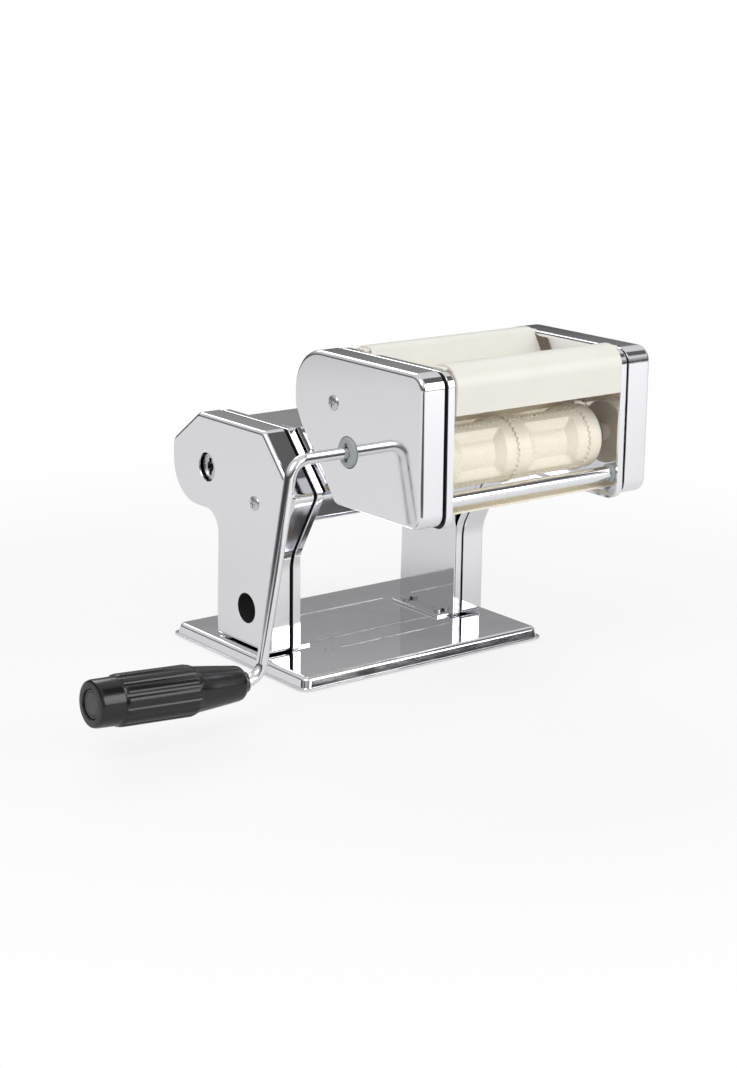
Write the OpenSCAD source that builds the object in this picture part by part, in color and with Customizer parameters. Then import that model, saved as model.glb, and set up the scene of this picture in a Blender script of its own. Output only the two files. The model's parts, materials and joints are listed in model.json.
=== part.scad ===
// Hand-cranked pasta roller machine with a ravioli unit hooked on its front.
// X runs along the rollers with the crank at -X, the front is -Y, Z is up.
// The origin is the centre of the foot plane. All sizes are in millimetres.

/* [Base] */
// Length of the base plate along the rollers
base_len = 200; // [190:1:240]
// Depth of the base plate
base_depth = 156; // [140:1:190]
// Height of the base plate's top over the bench
base_h = 8.9; // [7.5:0.1:14]
// Thickness of the pressed base sheet
base_t = 1.2; // [0.8:0.1:2]
// How far the feet hold the rim off the bench
foot_lift = 0.9; // [0.5:0.1:3]
// Diameter of a rubber foot
foot_d = 18; // [12:1:24]
// Distance from the base's edge to a foot's centre
foot_inset = 17; // [14:1:30]

/* [Machine body] */
// Height of the body covers' top over the bench
body_top = 156.5; // [152:0.5:170]
// Overall width over the side covers
body_w = 179.6; // [176:0.2:190]
// Width over the two frame plates
frame_w = 142; // [136:0.2:146]
// Thickness of a frame plate
plate_t = 1.5; // [1:0.1:2]
// Width of the flange turned inwards around a frame plate
flange_w = 5.3; // [4:0.1:7]
// How far the frame plate's outline lies inside the cover's outline
plate_inset = 0.6; // [0.3:0.1:1.2]
// Thickness of a cover shell
cover_t = 1.0; // [0.8:0.1:1.4]
// Gap between a cover's rim and the frame plate
cover_gap = 1.2; // [0.6:0.1:2]
// Radius of a cover's rounded edge
edge_r = 2.0; // [1:0.1:2.4]
// Front of the legs
leg_front = -24.8; // [-30:0.2:-22]
// Back of the legs
leg_back = 36.4; // [34:0.2:38]
// Backmost reach of the roller housing
housing_back = 90; // [88:0.5:96]
// Underside of the roller housing
housing_low = 92.6; // [86:0.2:94]
// Gap under a cover's foot
cover_foot_gap = 0.9; // [0.5:0.1:2]
// Thickness of the inner sheets
sheet_t = 1.2; // [0.8:0.1:1.6]
// Underside of the body between the legs
belly_z = 98; // [94:0.5:102]
// Radius of the arch between the legs
arch_r = 12; // [6:1:20]
// Radius of the clamp hole in the left leg
clamp_hole_r = 10.15; // [8:0.05:12]
// Height of the clamp hole
clamp_hole_z = 35.5; // [28:0.5:45]
// Distance from the middle plane to the clamp hole
clamp_hole_y = 1.3; // [-4:0.1:8]

/* [Front slope] */
// Forward reach of the body's nose
nose_y = -52.5; // [-56:0.5:-48]
// Height of the nose
nose_z = 119; // [115:0.5:123]
// Tilt of the front slope from level
slope_tilt = 47.6; // [44:0.2:52]
// Width of a guide rail
rail_w = 12; // [10:0.5:14]
// Height of a guide rail over the slope
rail_h = 6; // [5:0.5:8]
// Distance of a guide rail's middle from the machine's middle
rail_x = 62; // [56:0.5:62]

/* [Smooth rollers] */
// Diameter of the smooth rollers
roller_d = 23; // [20:0.5:23.5]
// Distance from the body's middle plane to the drive roller
drive_y = 47.2; // [46:0.1:48]
// Height of the smooth rollers' axes
drive_z = 121.3; // [119:0.1:123]
// Radius of a roller journal
journal_r = 6; // [5.4:0.1:6.6]
// Smallest gap between the rollers
gap_min = 0.2; // [0.1:0.05:0.5]
// Throw of the knob's cam
cam_throw = 1.2; // [0.8:0.05:1.3]
// Turn of the knob from the widest to the narrowest gap
knob_turn = 120; // [90:5:130]
// Teeth on each smooth roller gear
roller_teeth = 16; // [14:2:20]
// Width of a smooth roller gear
gear_w = 8; // [5:0.5:9]

/* [Ravioli unit] */
// Top of the unit's covers
unit_top = 217.2; // [214:0.2:222]
// Front of the unit's covers
unit_front = -179.6; // [-184:0.2:-178]
// Underside of the unit's covers
unit_low = 124.8; // [122:0.2:128]
// Underside of the unit's inner plates
unit_plate_low = 122; // [119:0.2:124]
// Distance from the machine's slope to the unit's back slope
unit_gap = 38; // [34:0.5:40]
// Distance from the middle plane to the back ravioli roller's axis
ravioli_y = -108.5; // [-110:0.1:-107]
// Height of the ravioli rollers' axes
ravioli_z = 159.7; // [158:0.1:162]
// Distance between the two ravioli rollers
ravioli_pitch = 42; // [41.8:0.1:44]
// Radius over the ridges of a ravioli roller
ridge_r = 20.8; // [19:0.1:20.85]
// Depth of the ravioli pockets
pocket_depth = 4.6; // [3:0.1:6]
// Length of a ravioli roller's barrel
barrel_len = 127; // [122:1:132]
// Teeth on each ravioli gear
ravioli_teeth = 24; // [20:2:30]
// Diameter of the lower front bar
bar_d = 8.5; // [6:0.5:9]
// Length of the hopper
hopper_len = 130; // [122:1:130.6]
// Wall of the hopper
hopper_t = 2; // [1.5:0.1:2.4]

/* [Crank] */
// Diameter of the crank rod
rod_d = 7.2; // [6.4:0.1:7.6]
// Reach of the crank's shaft from the middle plane
crank_x = 130.6; // [118:0.2:145]
// Drop of the crank arm
arm_drop = 131.1; // [110:0.1:135]
// Lean of the crank arm away from the machine
arm_lean = 10.33; // [0:0.1:14]
// Rise of the handle towards its end
handle_rise = 4; // [0:0.5:6]
// Bend radius of the crank rod
bend_r = 12; // [10:0.5:16]
// Length of the grip
grip_len = 105; // [90:1:120]
// Largest diameter of the grip
grip_d = 31; // [26:0.5:34]
// Distance from the crank's bend to the grip
grip_offset = 11; // [10.5:0.5:16]

/* [Hidden] */
$fn = 48;

chrome = "gainsboro";
steel = "silver";
nylon = "darkgray";
cream = "ivory";
black = "#2b2b2b";

// Clearances that pieces share
run_gap = 0.05;   // radial running fit
seat_gap = 0.02;  // radial gap of a pressed hub, kept just clear
part_gap = 0.3;   // gap between neighbouring or sliding pieces
over = 1;         // how far a cutter passes a face
arc_steps = 8;    // segments in a rounded corner

// --- Plane geometry -------------------------------------------------------

function xy(c) = [c[0], c[1]];
function unit(v) = v / norm(v);
function left_of(v) = [-v[1], v[0]];
function right_of(v) = [v[1], -v[0]];
function turned(v, a) = [v[0] * cos(a) - v[1] * sin(a), v[0] * sin(a) + v[1] * cos(a)];
function reversed(p) = [for (i = [len(p) - 1:-1:0]) p[i]];

// Arc that rounds corner p, reached along d1 and left along d2
function corner_arc(p, d1, d2, r, steps) =
    let (turn = acos(max(-1, min(1, d1 * d2))),
         side = cross(d1, d2) >= 0 ? 1 : -1,
         start = p - d1 * r * tan(turn / 2),
         centre = start + side * r * left_of(d1))
    [for (k = [0:steps]) centre + turned(start - centre, side * turn * k / steps)];

// Closed outline of counterclockwise corners [y, z, radius]; grow moves every edge outwards
function outline(c, grow = 0, steps = arc_steps) =
    [for (i = [0:len(c) - 1])
        let (d1 = unit(xy(c[i]) - xy(c[(i + len(c) - 1) % len(c)])),
             d2 = unit(xy(c[(i + 1) % len(c)]) - xy(c[i])),
             n1 = right_of(d1),
             n2 = right_of(d2),
             p = xy(c[i]) + grow * (n1 + n2) / (1 + n1 * n2),
             r = c[i][2] + (cross(d1, d2) >= 0 ? grow : -grow))
        each corner_arc(p, d1, d2, max(r, 0.1), steps)];

// Open path of corners [y, z, radius] with its inner corners rounded
function rounded_path(c, steps = arc_steps) =
    let (last = len(c) - 1)
    concat([xy(c[0])],
        [for (i = [1:1:last - 1])
            each corner_arc(xy(c[i]), unit(xy(c[i]) - xy(c[i - 1])),
                unit(xy(c[i + 1]) - xy(c[i])), c[i][2], steps)],
        [xy(c[last])]);

function path_dir(p, i) = unit(p[min(i + 1, len(p) - 1)] - p[max(i - 1, 0)]);

// Section of a sheet of thickness t that lies on the left of a path
function sheet_section(c, t, steps = arc_steps) =
    let (p = rounded_path(c, steps))
    concat(p, reversed([for (i = [0:len(p) - 1]) p[i] + t * left_of(path_dir(p, i))]));

// Extrudes a section drawn in Y and Z along X
module along_x(x0, x1) {
    translate([x0, 0, 0])
        rotate([90, 0, 90])
            linear_extrude(height = x1 - x0)
                children();
}

// Straight round bar along X, by its axis
module bar_x(x0, x1, y, z, r) {
    translate([x0, y, z])
        rotate([0, 90, 0])
            cylinder(h = x1 - x0, r = r);
}

// Wall of a pressed cover: a closed band of rings with a rounded edge on its low X side
module cover_wall(corners, x0, x1) {
    steps = 4;
    inner = outline(corners, -cover_t);
    edge = [for (k = [0:steps])
        let (a = 90 * k / steps)
        [x0 + edge_r * (1 - cos(a)), outline(corners, -edge_r * (1 - sin(a)))]];
    rings = concat(edge, [
        [x1, outline(corners)],
        [x1, inner],
        [x0 + cover_t, inner],
        [x0 + cover_t, outline(corners, -edge_r)]]);
    n = len(inner);
    m = len(rings);
    polyhedron(points = [for (ring = rings) for (p = ring[1]) [ring[0], p[0], p[1]]],
        faces = [for (k = [0:m - 1]) for (i = [0:n - 1])
            let (j = (i + 1) % n, q = (k + 1) % m)
            [k * n + i, q * n + i, q * n + j, k * n + j]], convexity = 8);
}

// Pressed cover: a thin rounded tray that opens towards +X
module cover_shell(corners, x0, x1) {
    union() {
        cover_wall(corners, x0, x1);
        along_x(x0, x0 + cover_t)
            polygon(outline(corners, -edge_r));
    }
}

// Flanged plate: a flat plate with a rim turned towards +X
module flanged_plate(corners, x0) {
    difference() {
        along_x(x0, x0 + flange_w)
            polygon(outline(corners, -plate_inset));
        along_x(x0 + plate_t, x0 + flange_w + over)
            polygon(outline(corners, -plate_inset - plate_t));
    }
}

// --- Places that several pieces share --------------------------------------

cover_x = body_w / 2;
plate_x = frame_w / 2;
inner_x = plate_x - plate_t;
rim_x = plate_x + cover_gap;
flange_x = plate_x - flange_w;
sheet_half = inner_x - 0.1;

slope_along = [cos(slope_tilt), sin(slope_tilt)];
slope_out = left_of(slope_along);
function slope_point(s, w) = [nose_y, nose_z] + s * slope_along + w * slope_out;
slope_len = (body_top - nose_z) / slope_along[1];
slope_top = slope_point(slope_len, 0);

module on_slope() {
    translate([0, nose_y, nose_z])
        rotate([slope_tilt, 0, 0])
            translate([0, 0, -plate_inset])
                children();
}

// Side outline of the machine, counterclockwise, down to the given foot height
foot_corner_r = 3;
leg_flare = 1.6;
housing_r = 27;
armpit_r = 14;
back_chamfer_y = 32.5;
back_chamfer_z = 23.2;
back_corner_r = 9;
top_corner_r = 7;
slope_corner_r = 5;
chin_z = 72;
chin_r = 30;
function body_corners(foot_z) = [
    [leg_front, foot_z, foot_corner_r],
    [leg_back + leg_flare, foot_z, foot_corner_r],
    [leg_back - leg_flare / 2, housing_low, armpit_r],
    [housing_back, housing_low, housing_r],
    [housing_back, body_top - back_chamfer_z, back_corner_r],
    [housing_back - back_chamfer_y, body_top, top_corner_r],
    [slope_top[0], slope_top[1], slope_corner_r],
    [nose_y, nose_z, slope_corner_r],
    [leg_front - 0.2, chin_z, chin_r]];
plate_foot_z = base_h - plate_inset;

// Side outline of the ravioli unit, counterclockwise, down to the given height
unit_slope_low = slope_point(5, unit_gap);
unit_slope_high = slope_point(33, unit_gap);
unit_front_r = 9;
unit_top_front_r = 10;
unit_crown_r = 27;
unit_back_run = 16.6;
unit_back_lean = 0.6;
unit_shoulder = [6, 11];
function unit_corners(low_z) = [
    [unit_front, low_z, unit_front_r],
    [unit_slope_low[0] - unit_back_run - (unit_low - low_z) * unit_back_lean, low_z, 5],
    [unit_slope_low[0], unit_slope_low[1], 20],
    [unit_slope_high[0], unit_slope_high[1], 8],
    [unit_slope_high[0] + unit_shoulder[0], unit_slope_high[1] + unit_shoulder[1], 12],
    [unit_slope_high[0] + unit_shoulder[0] + 0.4, unit_top, unit_crown_r],
    [unit_front, unit_top, unit_top_front_r]];

// Rollers, gears and adjuster
roller_r = roller_d / 2;
cam_side = knob_turn / 2;
carrier_travel = 2 * cam_throw * sin(cam_side);
centres_min = roller_d + gap_min;
adjust_y = drive_y + centres_min + carrier_travel;
knob_y = adjust_y - carrier_travel / 2;
roller_half = inner_x - 0.6;
gear_x = plate_x + 4;
block_neck_y = 20;
block_neck_z = 18;
block_flange_y = 24;
block_flange_z = 24;
block_flange_t = 2.2;
cam_r = 4.5;
cam_x = plate_x + 4.5;
cam_w = 4.5;
spindle_r = 4;
link_y = adjust_y + 5.5;
link_z = drive_z - 15.5;
link_r = 2.5;

// Ravioli unit
front_ravioli_y = ravioli_y - ravioli_pitch;
nip_y = ravioli_y - ravioli_pitch / 2;
unit_gear_x = plate_x + 4;
hub_r = 9.5;
hub_hole_r = 9.9;
hub_proud = 1.7;
rod_r = rod_d / 2;
socket_r = rod_r + run_gap;
socket_depth = 25;
rod_reach = 24;        // from the hub's face to the rod's inner end
drive_pin_in = 4.5;    // from the hub's face to the cross pin
drive_pin_r = 1.25;
drive_pin_len = 11.2;
drive_slot_w = 3;
drive_slot_depth = 7;
bar_y = front_ravioli_y - 21;
bar_z = ravioli_z - 21;

// Screws that hold the covers
post_y = -8.4;
post_z = 107.8;
unit_post_y = -93.5;
unit_post_z = 187.5;
post_r = 5;
screw_head_r = 4.8;
screw_r = 2;

// --- Gears ------------------------------------------------------------------

function involute_point(base_r, t) =
    [base_r * (cos(t) + t * PI / 180 * sin(t)), base_r * (sin(t) - t * PI / 180 * cos(t))];
function involute_end(base_r, r) = sqrt(max(0, pow(r / base_r, 2) - 1)) * 180 / PI;

// Spur gear profile with one tooth centred on the first axis
module gear_profile(teeth, modul, backlash, bore_r) {
    pressure = 20;
    flank_steps = 5;
    pitch_r = teeth * modul / 2;
    base_r = pitch_r * cos(pressure);
    tip_r = pitch_r + 0.95 * modul;
    root_r = pitch_r - 1.25 * modul;
    inv = tan(pressure) * 180 / PI - pressure;
    half_tooth = 90 / teeth - backlash / pitch_r * 90 / PI;
    t_end = involute_end(base_r, tip_r);
    flank = [for (k = [0:flank_steps]) involute_point(base_r, t_end * k / flank_steps)];
    tooth = concat([[root_r * 0.97, 0]], flank);
    lower = [for (p = tooth) turned(p, -half_tooth - inv)];
    upper = [for (p = reversed(lower)) [p[0], -p[1]]];
    difference() {
        union() {
            circle(r = root_r);
            for (i = [0:teeth - 1])
                rotate(360 * i / teeth)
                    polygon(concat(lower, upper));
        }
        circle(r = bore_r);
    }
}

// Gear about an axis along X, turned so that a tooth points to +Y at phase 0
module gear_x_axis(x0, y, z, width, teeth, modul, backlash, bore_r, phase) {
    translate([0, y, z])
        along_x(x0, x0 + width)
            rotate(phase)
                gear_profile(teeth, modul, backlash, bore_r);
}

// --- Base -------------------------------------------------------------------

base_corners = [
    [-base_len / 2, -base_depth / 2, 7],
    [base_len / 2, -base_depth / 2, 7],
    [base_len / 2, base_depth / 2, 7],
    [-base_len / 2, base_depth / 2, 7]];

module base_ring_stack(inset, drop) {
    rim_z = foot_lift;
    top_z = base_h - drop;
    n = len(outline(base_corners));
    rings = [
        [rim_z - (drop > 0 ? over : 0), -inset],
        [rim_z + 1.4, -inset],
        [rim_z + 1.9, -inset - 1],
        [top_z - 1.6, -inset - 2],
        [top_z, -inset - 3.4]];
    points = [for (ring = rings) for (p = outline(base_corners, ring[1])) [p[0], p[1], ring[0]]];
    last = len(rings) - 1;
    sides = [for (k = [0:last - 1]) for (i = [0:n - 1])
        let (j = (i + 1) % n)
        [k * n + i, (k + 1) * n + i, (k + 1) * n + j, k * n + j]];
    polyhedron(points = points,
        faces = concat([[for (i = [0:n - 1]) i]], sides,
            [[for (i = [n - 1:-1:0]) last * n + i]]), convexity = 6);
}

screw_spots = [for (x = [-1, 1]) for (y = [leg_front + 14, leg_back - 12]) [x * (plate_x - 10), y]];
foot_spots = [for (x = [-1, 1]) for (y = [-1, 1])
    [x * (base_len / 2 - foot_inset), y * (base_depth / 2 - foot_inset)]];
screw_hole_r = 1.7;

module base_plate() {
    bead_y = [-34, -14, 40];
    bead_w = 2.4;
    bead_h = 0.4;
    bead_half = flange_x - 14;
    color(chrome)
    difference() {
        union() {
            base_ring_stack(0, 0);
            for (y = bead_y)
                translate([-bead_half, y - bead_w / 2, base_h - bead_h])
                    cube([2 * bead_half, bead_w, 2 * bead_h]);
        }
        base_ring_stack(base_t, base_t);
        for (s = screw_spots)
            translate([s[0], s[1], 0])
                cylinder(h = base_h + over, r = screw_hole_r);
    }
}

module rubber_feet() {
    color(black)
    for (s = foot_spots)
        translate([s[0], s[1], 0])
            cylinder(h = base_h - base_t, r = foot_d / 2);
}

module base_screws() {
    head_h = 1.4;
    top_z = base_h + plate_t;
    color(steel)
    for (s = screw_spots)
        translate([s[0], s[1], 0]) {
            translate([0, 0, base_h - base_t - 2.4])
                cylinder(h = top_z - base_h + base_t + 2.4, r = screw_r - 0.4);
            translate([0, 0, top_z])
                cylinder(h = head_h, r = 3);
            translate([0, 0, base_h - base_t - 2.4])
                cylinder(h = 2.4, r = 3);
        }
}

// --- Frame ------------------------------------------------------------------

slot_travel = carrier_travel + 2 * part_gap;

// One frame plate on the low X side, with the holes that both sides share
module frame_plate(hole_r) {
    difference() {
        union() {
            flanged_plate(body_corners(plate_foot_z), -plate_x);
            translate([-flange_x - 0.1, leg_front + 5, base_h])
                cube([12, leg_back - leg_front - 10, plate_t]);
        }
        bar_x(-plate_x - over, -inner_x + over, drive_y, drive_z, hole_r);
        bar_x(-plate_x - over, -inner_x + over, post_y, post_z, screw_r + 0.1);
        translate([-plate_x - over, adjust_y - block_neck_y / 2 - carrier_travel - part_gap,
                drive_z - block_neck_z / 2 - part_gap])
            cube([plate_t + 2 * over, block_neck_y + slot_travel, block_neck_z + 2 * part_gap]);
        translate([-plate_x - over, link_y - link_r - carrier_travel - part_gap,
                link_z - link_r - part_gap])
            cube([plate_t + 2 * over, 2 * link_r + slot_travel, 2 * (link_r + part_gap)]);
        for (s = screw_spots)
            translate([s[0], s[1], base_h - over])
                cylinder(h = plate_t + 2 * over, r = screw_hole_r);
    }
}

bush_r = 9;

module left_frame_plate() {
    color(chrome)
    difference() {
        frame_plate(bush_r);
        bar_x(-plate_x - over, -inner_x + over, clamp_hole_y, clamp_hole_z, clamp_hole_r);
    }
}

module right_frame_plate() {
    color(chrome)
    mirror([1, 0, 0])
        frame_plate(bush_r);
}

cover_foot_z = base_h + cover_foot_gap;

module side_cover() {
    difference() {
        cover_shell(body_corners(cover_foot_z), -cover_x, -rim_x);
        bar_x(-cover_x - over, -cover_x + 3, post_y, post_z, screw_r + 0.1);
    }
}

crank_hole_r = 9.75;

module left_side_cover() {
    color(chrome)
    difference() {
        side_cover();
        bar_x(-cover_x - over, -cover_x + 3, drive_y, drive_z, crank_hole_r);
        bar_x(-cover_x - over, -cover_x + 3, clamp_hole_y, clamp_hole_z, clamp_hole_r);
    }
}

spindle_hole_r = 7;

module right_side_cover() {
    color(chrome)
    mirror([1, 0, 0])
        difference() {
            side_cover();
            bar_x(-cover_x - over, -cover_x + 3, knob_y, drive_z, spindle_hole_r);
        }
}

flange_under = body_top - plate_inset - plate_t;

top_front_y = slope_top[0] + 4;

module top_cover() {
    y_back = drive_y - 5;
    color(chrome)
    along_x(-sheet_half, sheet_half)
        polygon(sheet_section([
            [y_back, flange_under - 7, 0],
            [y_back, flange_under, 3],
            [top_front_y, flange_under, 0]], sheet_t));
}

module front_panel() {
    lap = 10;
    top_z = body_top - plate_inset;
    top_s = (top_z + plate_inset * slope_along[0] - nose_z) / slope_along[1];
    top = slope_point(top_s, -plate_inset);
    nose = slope_point(0.2, -plate_inset);
    chin_front = [nose[0] + 12.5, belly_z];
    color(chrome)
    along_x(-flange_x + 0.1, flange_x - 0.1)
        polygon(sheet_section([
            [top_front_y + lap, top_z, 0],
            [top[0], top[1], 4],
            [nose[0], nose[1], 5],
            [chin_front[0], chin_front[1], 10],
            [leg_back - 8, belly_z, 0]], sheet_t));
}

// Sheet bent as an inverted U between the legs
module portal_arch() {
    half = flange_x - 0.1;
    foot_z = base_h + plate_t;
    color(chrome)
    difference() {
        translate([0, leg_back - 2, 0])
            rotate([90, 0, 0])
                linear_extrude(height = leg_back - leg_front - 3)
                    polygon(sheet_section([
                        [-half, foot_z, 0],
                        [-half, belly_z, arch_r],
                        [half, belly_z, arch_r],
                        [half, foot_z, 0]], -sheet_t));
        bar_x(-half - over, -half + sheet_t + over, clamp_hole_y, clamp_hole_z,
            clamp_hole_r + part_gap);
    }
}

tie_spots = [[post_y, post_z], [18, 140]];

module tie_rods() {
    color(steel)
    for (s = tie_spots)
        bar_x(-inner_x, inner_x, s[0], s[1], post_r - 1);
}

module cover_posts() {
    color(steel)
    for (side = [-1, 1])
        bar_x(side > 0 ? plate_x : -cover_x + cover_t, side > 0 ? cover_x - cover_t : -plate_x,
            post_y, post_z, post_r);
}

// Low round screw head with a cross recess, on the low X side
module screw_head(x_face, y, z) {
    head_h = 1.5;
    slot_w = 1.1;
    difference() {
        bar_x(x_face - head_h, x_face, y, z, screw_head_r);
        for (turn = [0, 90])
            translate([x_face - head_h, y, z])
                rotate([turn, 0, 0])
                    cube([2, slot_w, 5.4], center = true);
    }
}

module cover_screws() {
    color(steel)
    for (side = [0, 1])
        mirror([side, 0, 0])
            screw_head(-cover_x, post_y, post_z);
}

// Sheet of a guide rail, and where the unit's bracket starts along the slope
rail_t = 1.5;
bracket_s = 6.5;

// C-shaped rail on the front slope, closed at its lower end
module guide_rail() {
    slot_w = rail_w - 4 * rail_t;
    pocket_w = rail_w - 2 * rail_t;
    stop_len = bracket_s - part_gap;
    rail_len = slope_len - 3;
    on_slope()
        difference() {
            translate([-rail_w / 2, 0, 0])
                cube([rail_w, rail_len, rail_h]);
            translate([-pocket_w / 2, stop_len, rail_t])
                cube([pocket_w, rail_len, rail_h - 2 * rail_t]);
            translate([-slot_w / 2, stop_len, rail_t])
                cube([slot_w, rail_len, rail_h]);
        }
}

module guide_rail_left() {
    color(chrome)
    translate([-rail_x, 0, 0])
        guide_rail();
}

module guide_rail_right() {
    color(chrome)
    translate([rail_x, 0, 0])
        guide_rail();
}

module rail_rivets() {
    rivet_h = 0.2;
    color(steel)
    for (x = [-rail_x, rail_x])
        for (s = [9, slope_len - 12])
            on_slope()
                translate([x, s, rail_t])
                    cylinder(h = rivet_h, r = 2.2);
}

module roller_bushes() {
    color(nylon)
    for (side = [0, 1])
        mirror([side, 0, 0])
            difference() {
                union() {
                    bar_x(-plate_x - 3, -inner_x, drive_y, drive_z, bush_r - seat_gap);
                    bar_x(-plate_x - 3, -plate_x, drive_y, drive_z, bush_r + 0.8);
                }
                bar_x(-plate_x - 4, -inner_x + over, drive_y, drive_z, journal_r + run_gap);
            }
}

module front_scraper() {
    edge = [drive_y, drive_z] + (roller_r + 0.5) * unit([-6.2, -10.8]);
    color(steel)
    along_x(-flange_x + 1, flange_x - 1)
        polygon(sheet_section([
            [leg_back - 14, belly_z + sheet_t, 0],
            [leg_back - 6, belly_z + sheet_t, 4],
            [edge[0] - 1.5, edge[1], 0]], 0.8));
}

// --- Smooth rollers ----------------------------------------------------------

module drive_roller() {
    socket_x = -cover_x + 2.8;
    color(steel)
    difference() {
        union() {
            bar_x(-roller_half, roller_half, drive_y, drive_z, roller_r);
            bar_x(socket_x, plate_x + 4, drive_y, drive_z, journal_r);
        }
        bar_x(socket_x - over, socket_x + socket_depth, drive_y, drive_z, socket_r);
        translate([socket_x - over, drive_y - drive_slot_w / 2, drive_z - journal_r - over])
            cube([drive_slot_depth + over, drive_slot_w, 2 * (journal_r + over)]);
    }
}

roller_modul = centres_min / roller_teeth;
gear_backlash = 0.2;

module drive_gear() {
    color(steel)
    gear_x_axis(-gear_x - gear_w, drive_y, drive_z, gear_w, roller_teeth, roller_modul,
        gear_backlash, journal_r + seat_gap, 0);
}

// Bearing block whose neck slides in the frame plate's window, on the low X side
module bearing_block(outer_t) {
    difference() {
        union() {
            translate([-plate_x - 0.5, adjust_y - block_neck_y / 2, drive_z - block_neck_z / 2])
                cube([plate_t + 0.8, block_neck_y, block_neck_z]);
            translate([-plate_x - part_gap - outer_t, adjust_y - block_flange_y / 2,
                    drive_z - block_flange_z / 2])
                cube([outer_t, block_flange_y, block_flange_z]);
            translate([-plate_x - part_gap - block_flange_t, link_y - 5, link_z - 4.4])
                cube([block_flange_t, 8.5, drive_z - link_z]);
        }
        bar_x(-plate_x - 4.2, -inner_x + over, adjust_y, drive_z, journal_r + run_gap);
        bar_x(-plate_x - 4, -plate_x, link_y, link_z, link_r + seat_gap);
    }
}

module bearing_block_left() {
    color(nylon)
    bearing_block(block_flange_t);
}

module bearing_block_right() {
    slot_y = 2 * cam_r + 0.3;
    slot_z = 2 * (cam_r + cam_throw) + 1;
    outer_t = cam_x + cam_w - plate_x - 2 * part_gap;
    color(nylon)
    mirror([1, 0, 0])
        difference() {
            bearing_block(outer_t);
            translate([-cam_x - cam_w - over, adjust_y - slot_y / 2, drive_z - slot_z / 2])
                cube([cam_w + over + 0.5, slot_y, slot_z]);
        }
}

module carrier_bar() {
    color(steel)
    bar_x(-plate_x - 2, plate_x + 2, link_y, link_z, link_r);
}

module rear_scraper() {
    foot_z = link_z + link_r;
    edge = [adjust_y + 1.2, drive_z - roller_r - 0.5];
    color(steel)
    along_x(-flange_x + 1, flange_x - 1)
        polygon([
            [link_y - 2.4, foot_z],
            [link_y + 1, foot_z],
            [link_y + 1, foot_z + 0.7],
            edge + [1.2, 0.1],
            edge]);
}

module adjustable_roller() {
    color(steel)
    union() {
        bar_x(-roller_half, roller_half, adjust_y, drive_z, roller_r);
        bar_x(-gear_x - gear_w, plate_x + 3.6, adjust_y, drive_z, journal_r);
    }
}

module adjustable_gear() {
    color(steel)
    gear_x_axis(-gear_x - gear_w, adjust_y, drive_z, gear_w, roller_teeth, roller_modul,
        gear_backlash, journal_r + seat_gap, 180 / roller_teeth);
}

// --- Thickness knob -----------------------------------------------------------

dial_t = 1.2;
dial_r = 16.5;
knob_r = 21;
knob_x = cover_x + dial_t + 1;
knob_h = 18;
knob_shoulder = 6;
spindle_end = knob_x + knob_h - 3;
spring_r = 6.6;
nut_w = 2.4;
pin_r = 1.6;
pin_ring_r = 12;
pin_y = knob_y + pin_ring_r * sin(cam_side);
pin_z = drive_z - pin_ring_r * cos(cam_side);

module dial_plate() {
    color(chrome)
    difference() {
        bar_x(cover_x, cover_x + dial_t, knob_y, drive_z, dial_r);
        bar_x(cover_x - over, cover_x + dial_t + over, knob_y, drive_z, spindle_hole_r);
        translate([cover_x - over, knob_y, drive_z])
            rotate([0, 90, 0])
                difference() {
                    cylinder(h = dial_t + 2 * over, r = pin_ring_r + pin_r + 0.4);
                    translate([0, 0, -over])
                        cylinder(h = dial_t + 4 * over, r = pin_ring_r - pin_r - 0.4);
                    for (side = [-1, 1])
                        rotate(side * (knob_turn / 2 + 13))
                            translate([-60, side > 0 ? 0 : -60, -over])
                                cube([120, 60, dial_t + 4 * over]);
                }
    }
}

module spindle_bush() {
    color(nylon)
    difference() {
        union() {
            bar_x(cover_x - cover_t - 4, cover_x + dial_t, knob_y, drive_z,
                spindle_hole_r - seat_gap);
            bar_x(cover_x - cover_t - 2, cover_x - cover_t, knob_y, drive_z, spindle_hole_r + 1.5);
        }
        bar_x(cover_x - 8, cover_x + dial_t + over, knob_y, drive_z, spindle_r + run_gap);
    }
}

module cam_spindle() {
    cam_y = knob_y + cam_throw * sin(cam_side);
    cam_z = drive_z - cam_throw * cos(cam_side);
    color(steel)
    union() {
        bar_x(cam_x, cam_x + cam_w, cam_y, cam_z, cam_r);
        bar_x(cam_x + cam_w, spindle_end, knob_y, drive_z, spindle_r);
    }
}

module spindle_nut() {
    color(steel)
    bar_x(spindle_end, spindle_end + nut_w, knob_y, drive_z, spring_r + 0.4);
}

module thickness_knob() {
    flutes = 16;
    color(black)
    difference() {
        bar_x(knob_x, knob_x + knob_h, knob_y, drive_z, knob_r);
        bar_x(knob_x - over, knob_x + knob_h, knob_y, drive_z, spindle_r + run_gap);
        bar_x(knob_x + knob_shoulder, knob_x + knob_h + over, knob_y, drive_z, spring_r + 1.2);
        bar_x(knob_x - over, knob_x + 3, pin_y, pin_z, pin_r + seat_gap);
        for (i = [0:flutes - 1])
            let (a = 360 * i / flutes)
            bar_x(knob_x + 4, knob_x + knob_h + over, knob_y + (knob_r + 1.6) * cos(a),
                drive_z + (knob_r + 1.6) * sin(a), 2.6);
    }
}

module stop_pin() {
    color(steel)
    bar_x(cover_x + 0.2, knob_x + 3, pin_y, pin_z, pin_r);
}

// Spring drawn as its coils' sleeve
module knob_spring() {
    color(steel)
    difference() {
        bar_x(knob_x + knob_shoulder, spindle_end, knob_y, drive_z, spring_r);
        bar_x(knob_x, spindle_end + over, knob_y, drive_z, spring_r - 1.2);
    }
}

// --- Ravioli unit --------------------------------------------------------------

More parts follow.
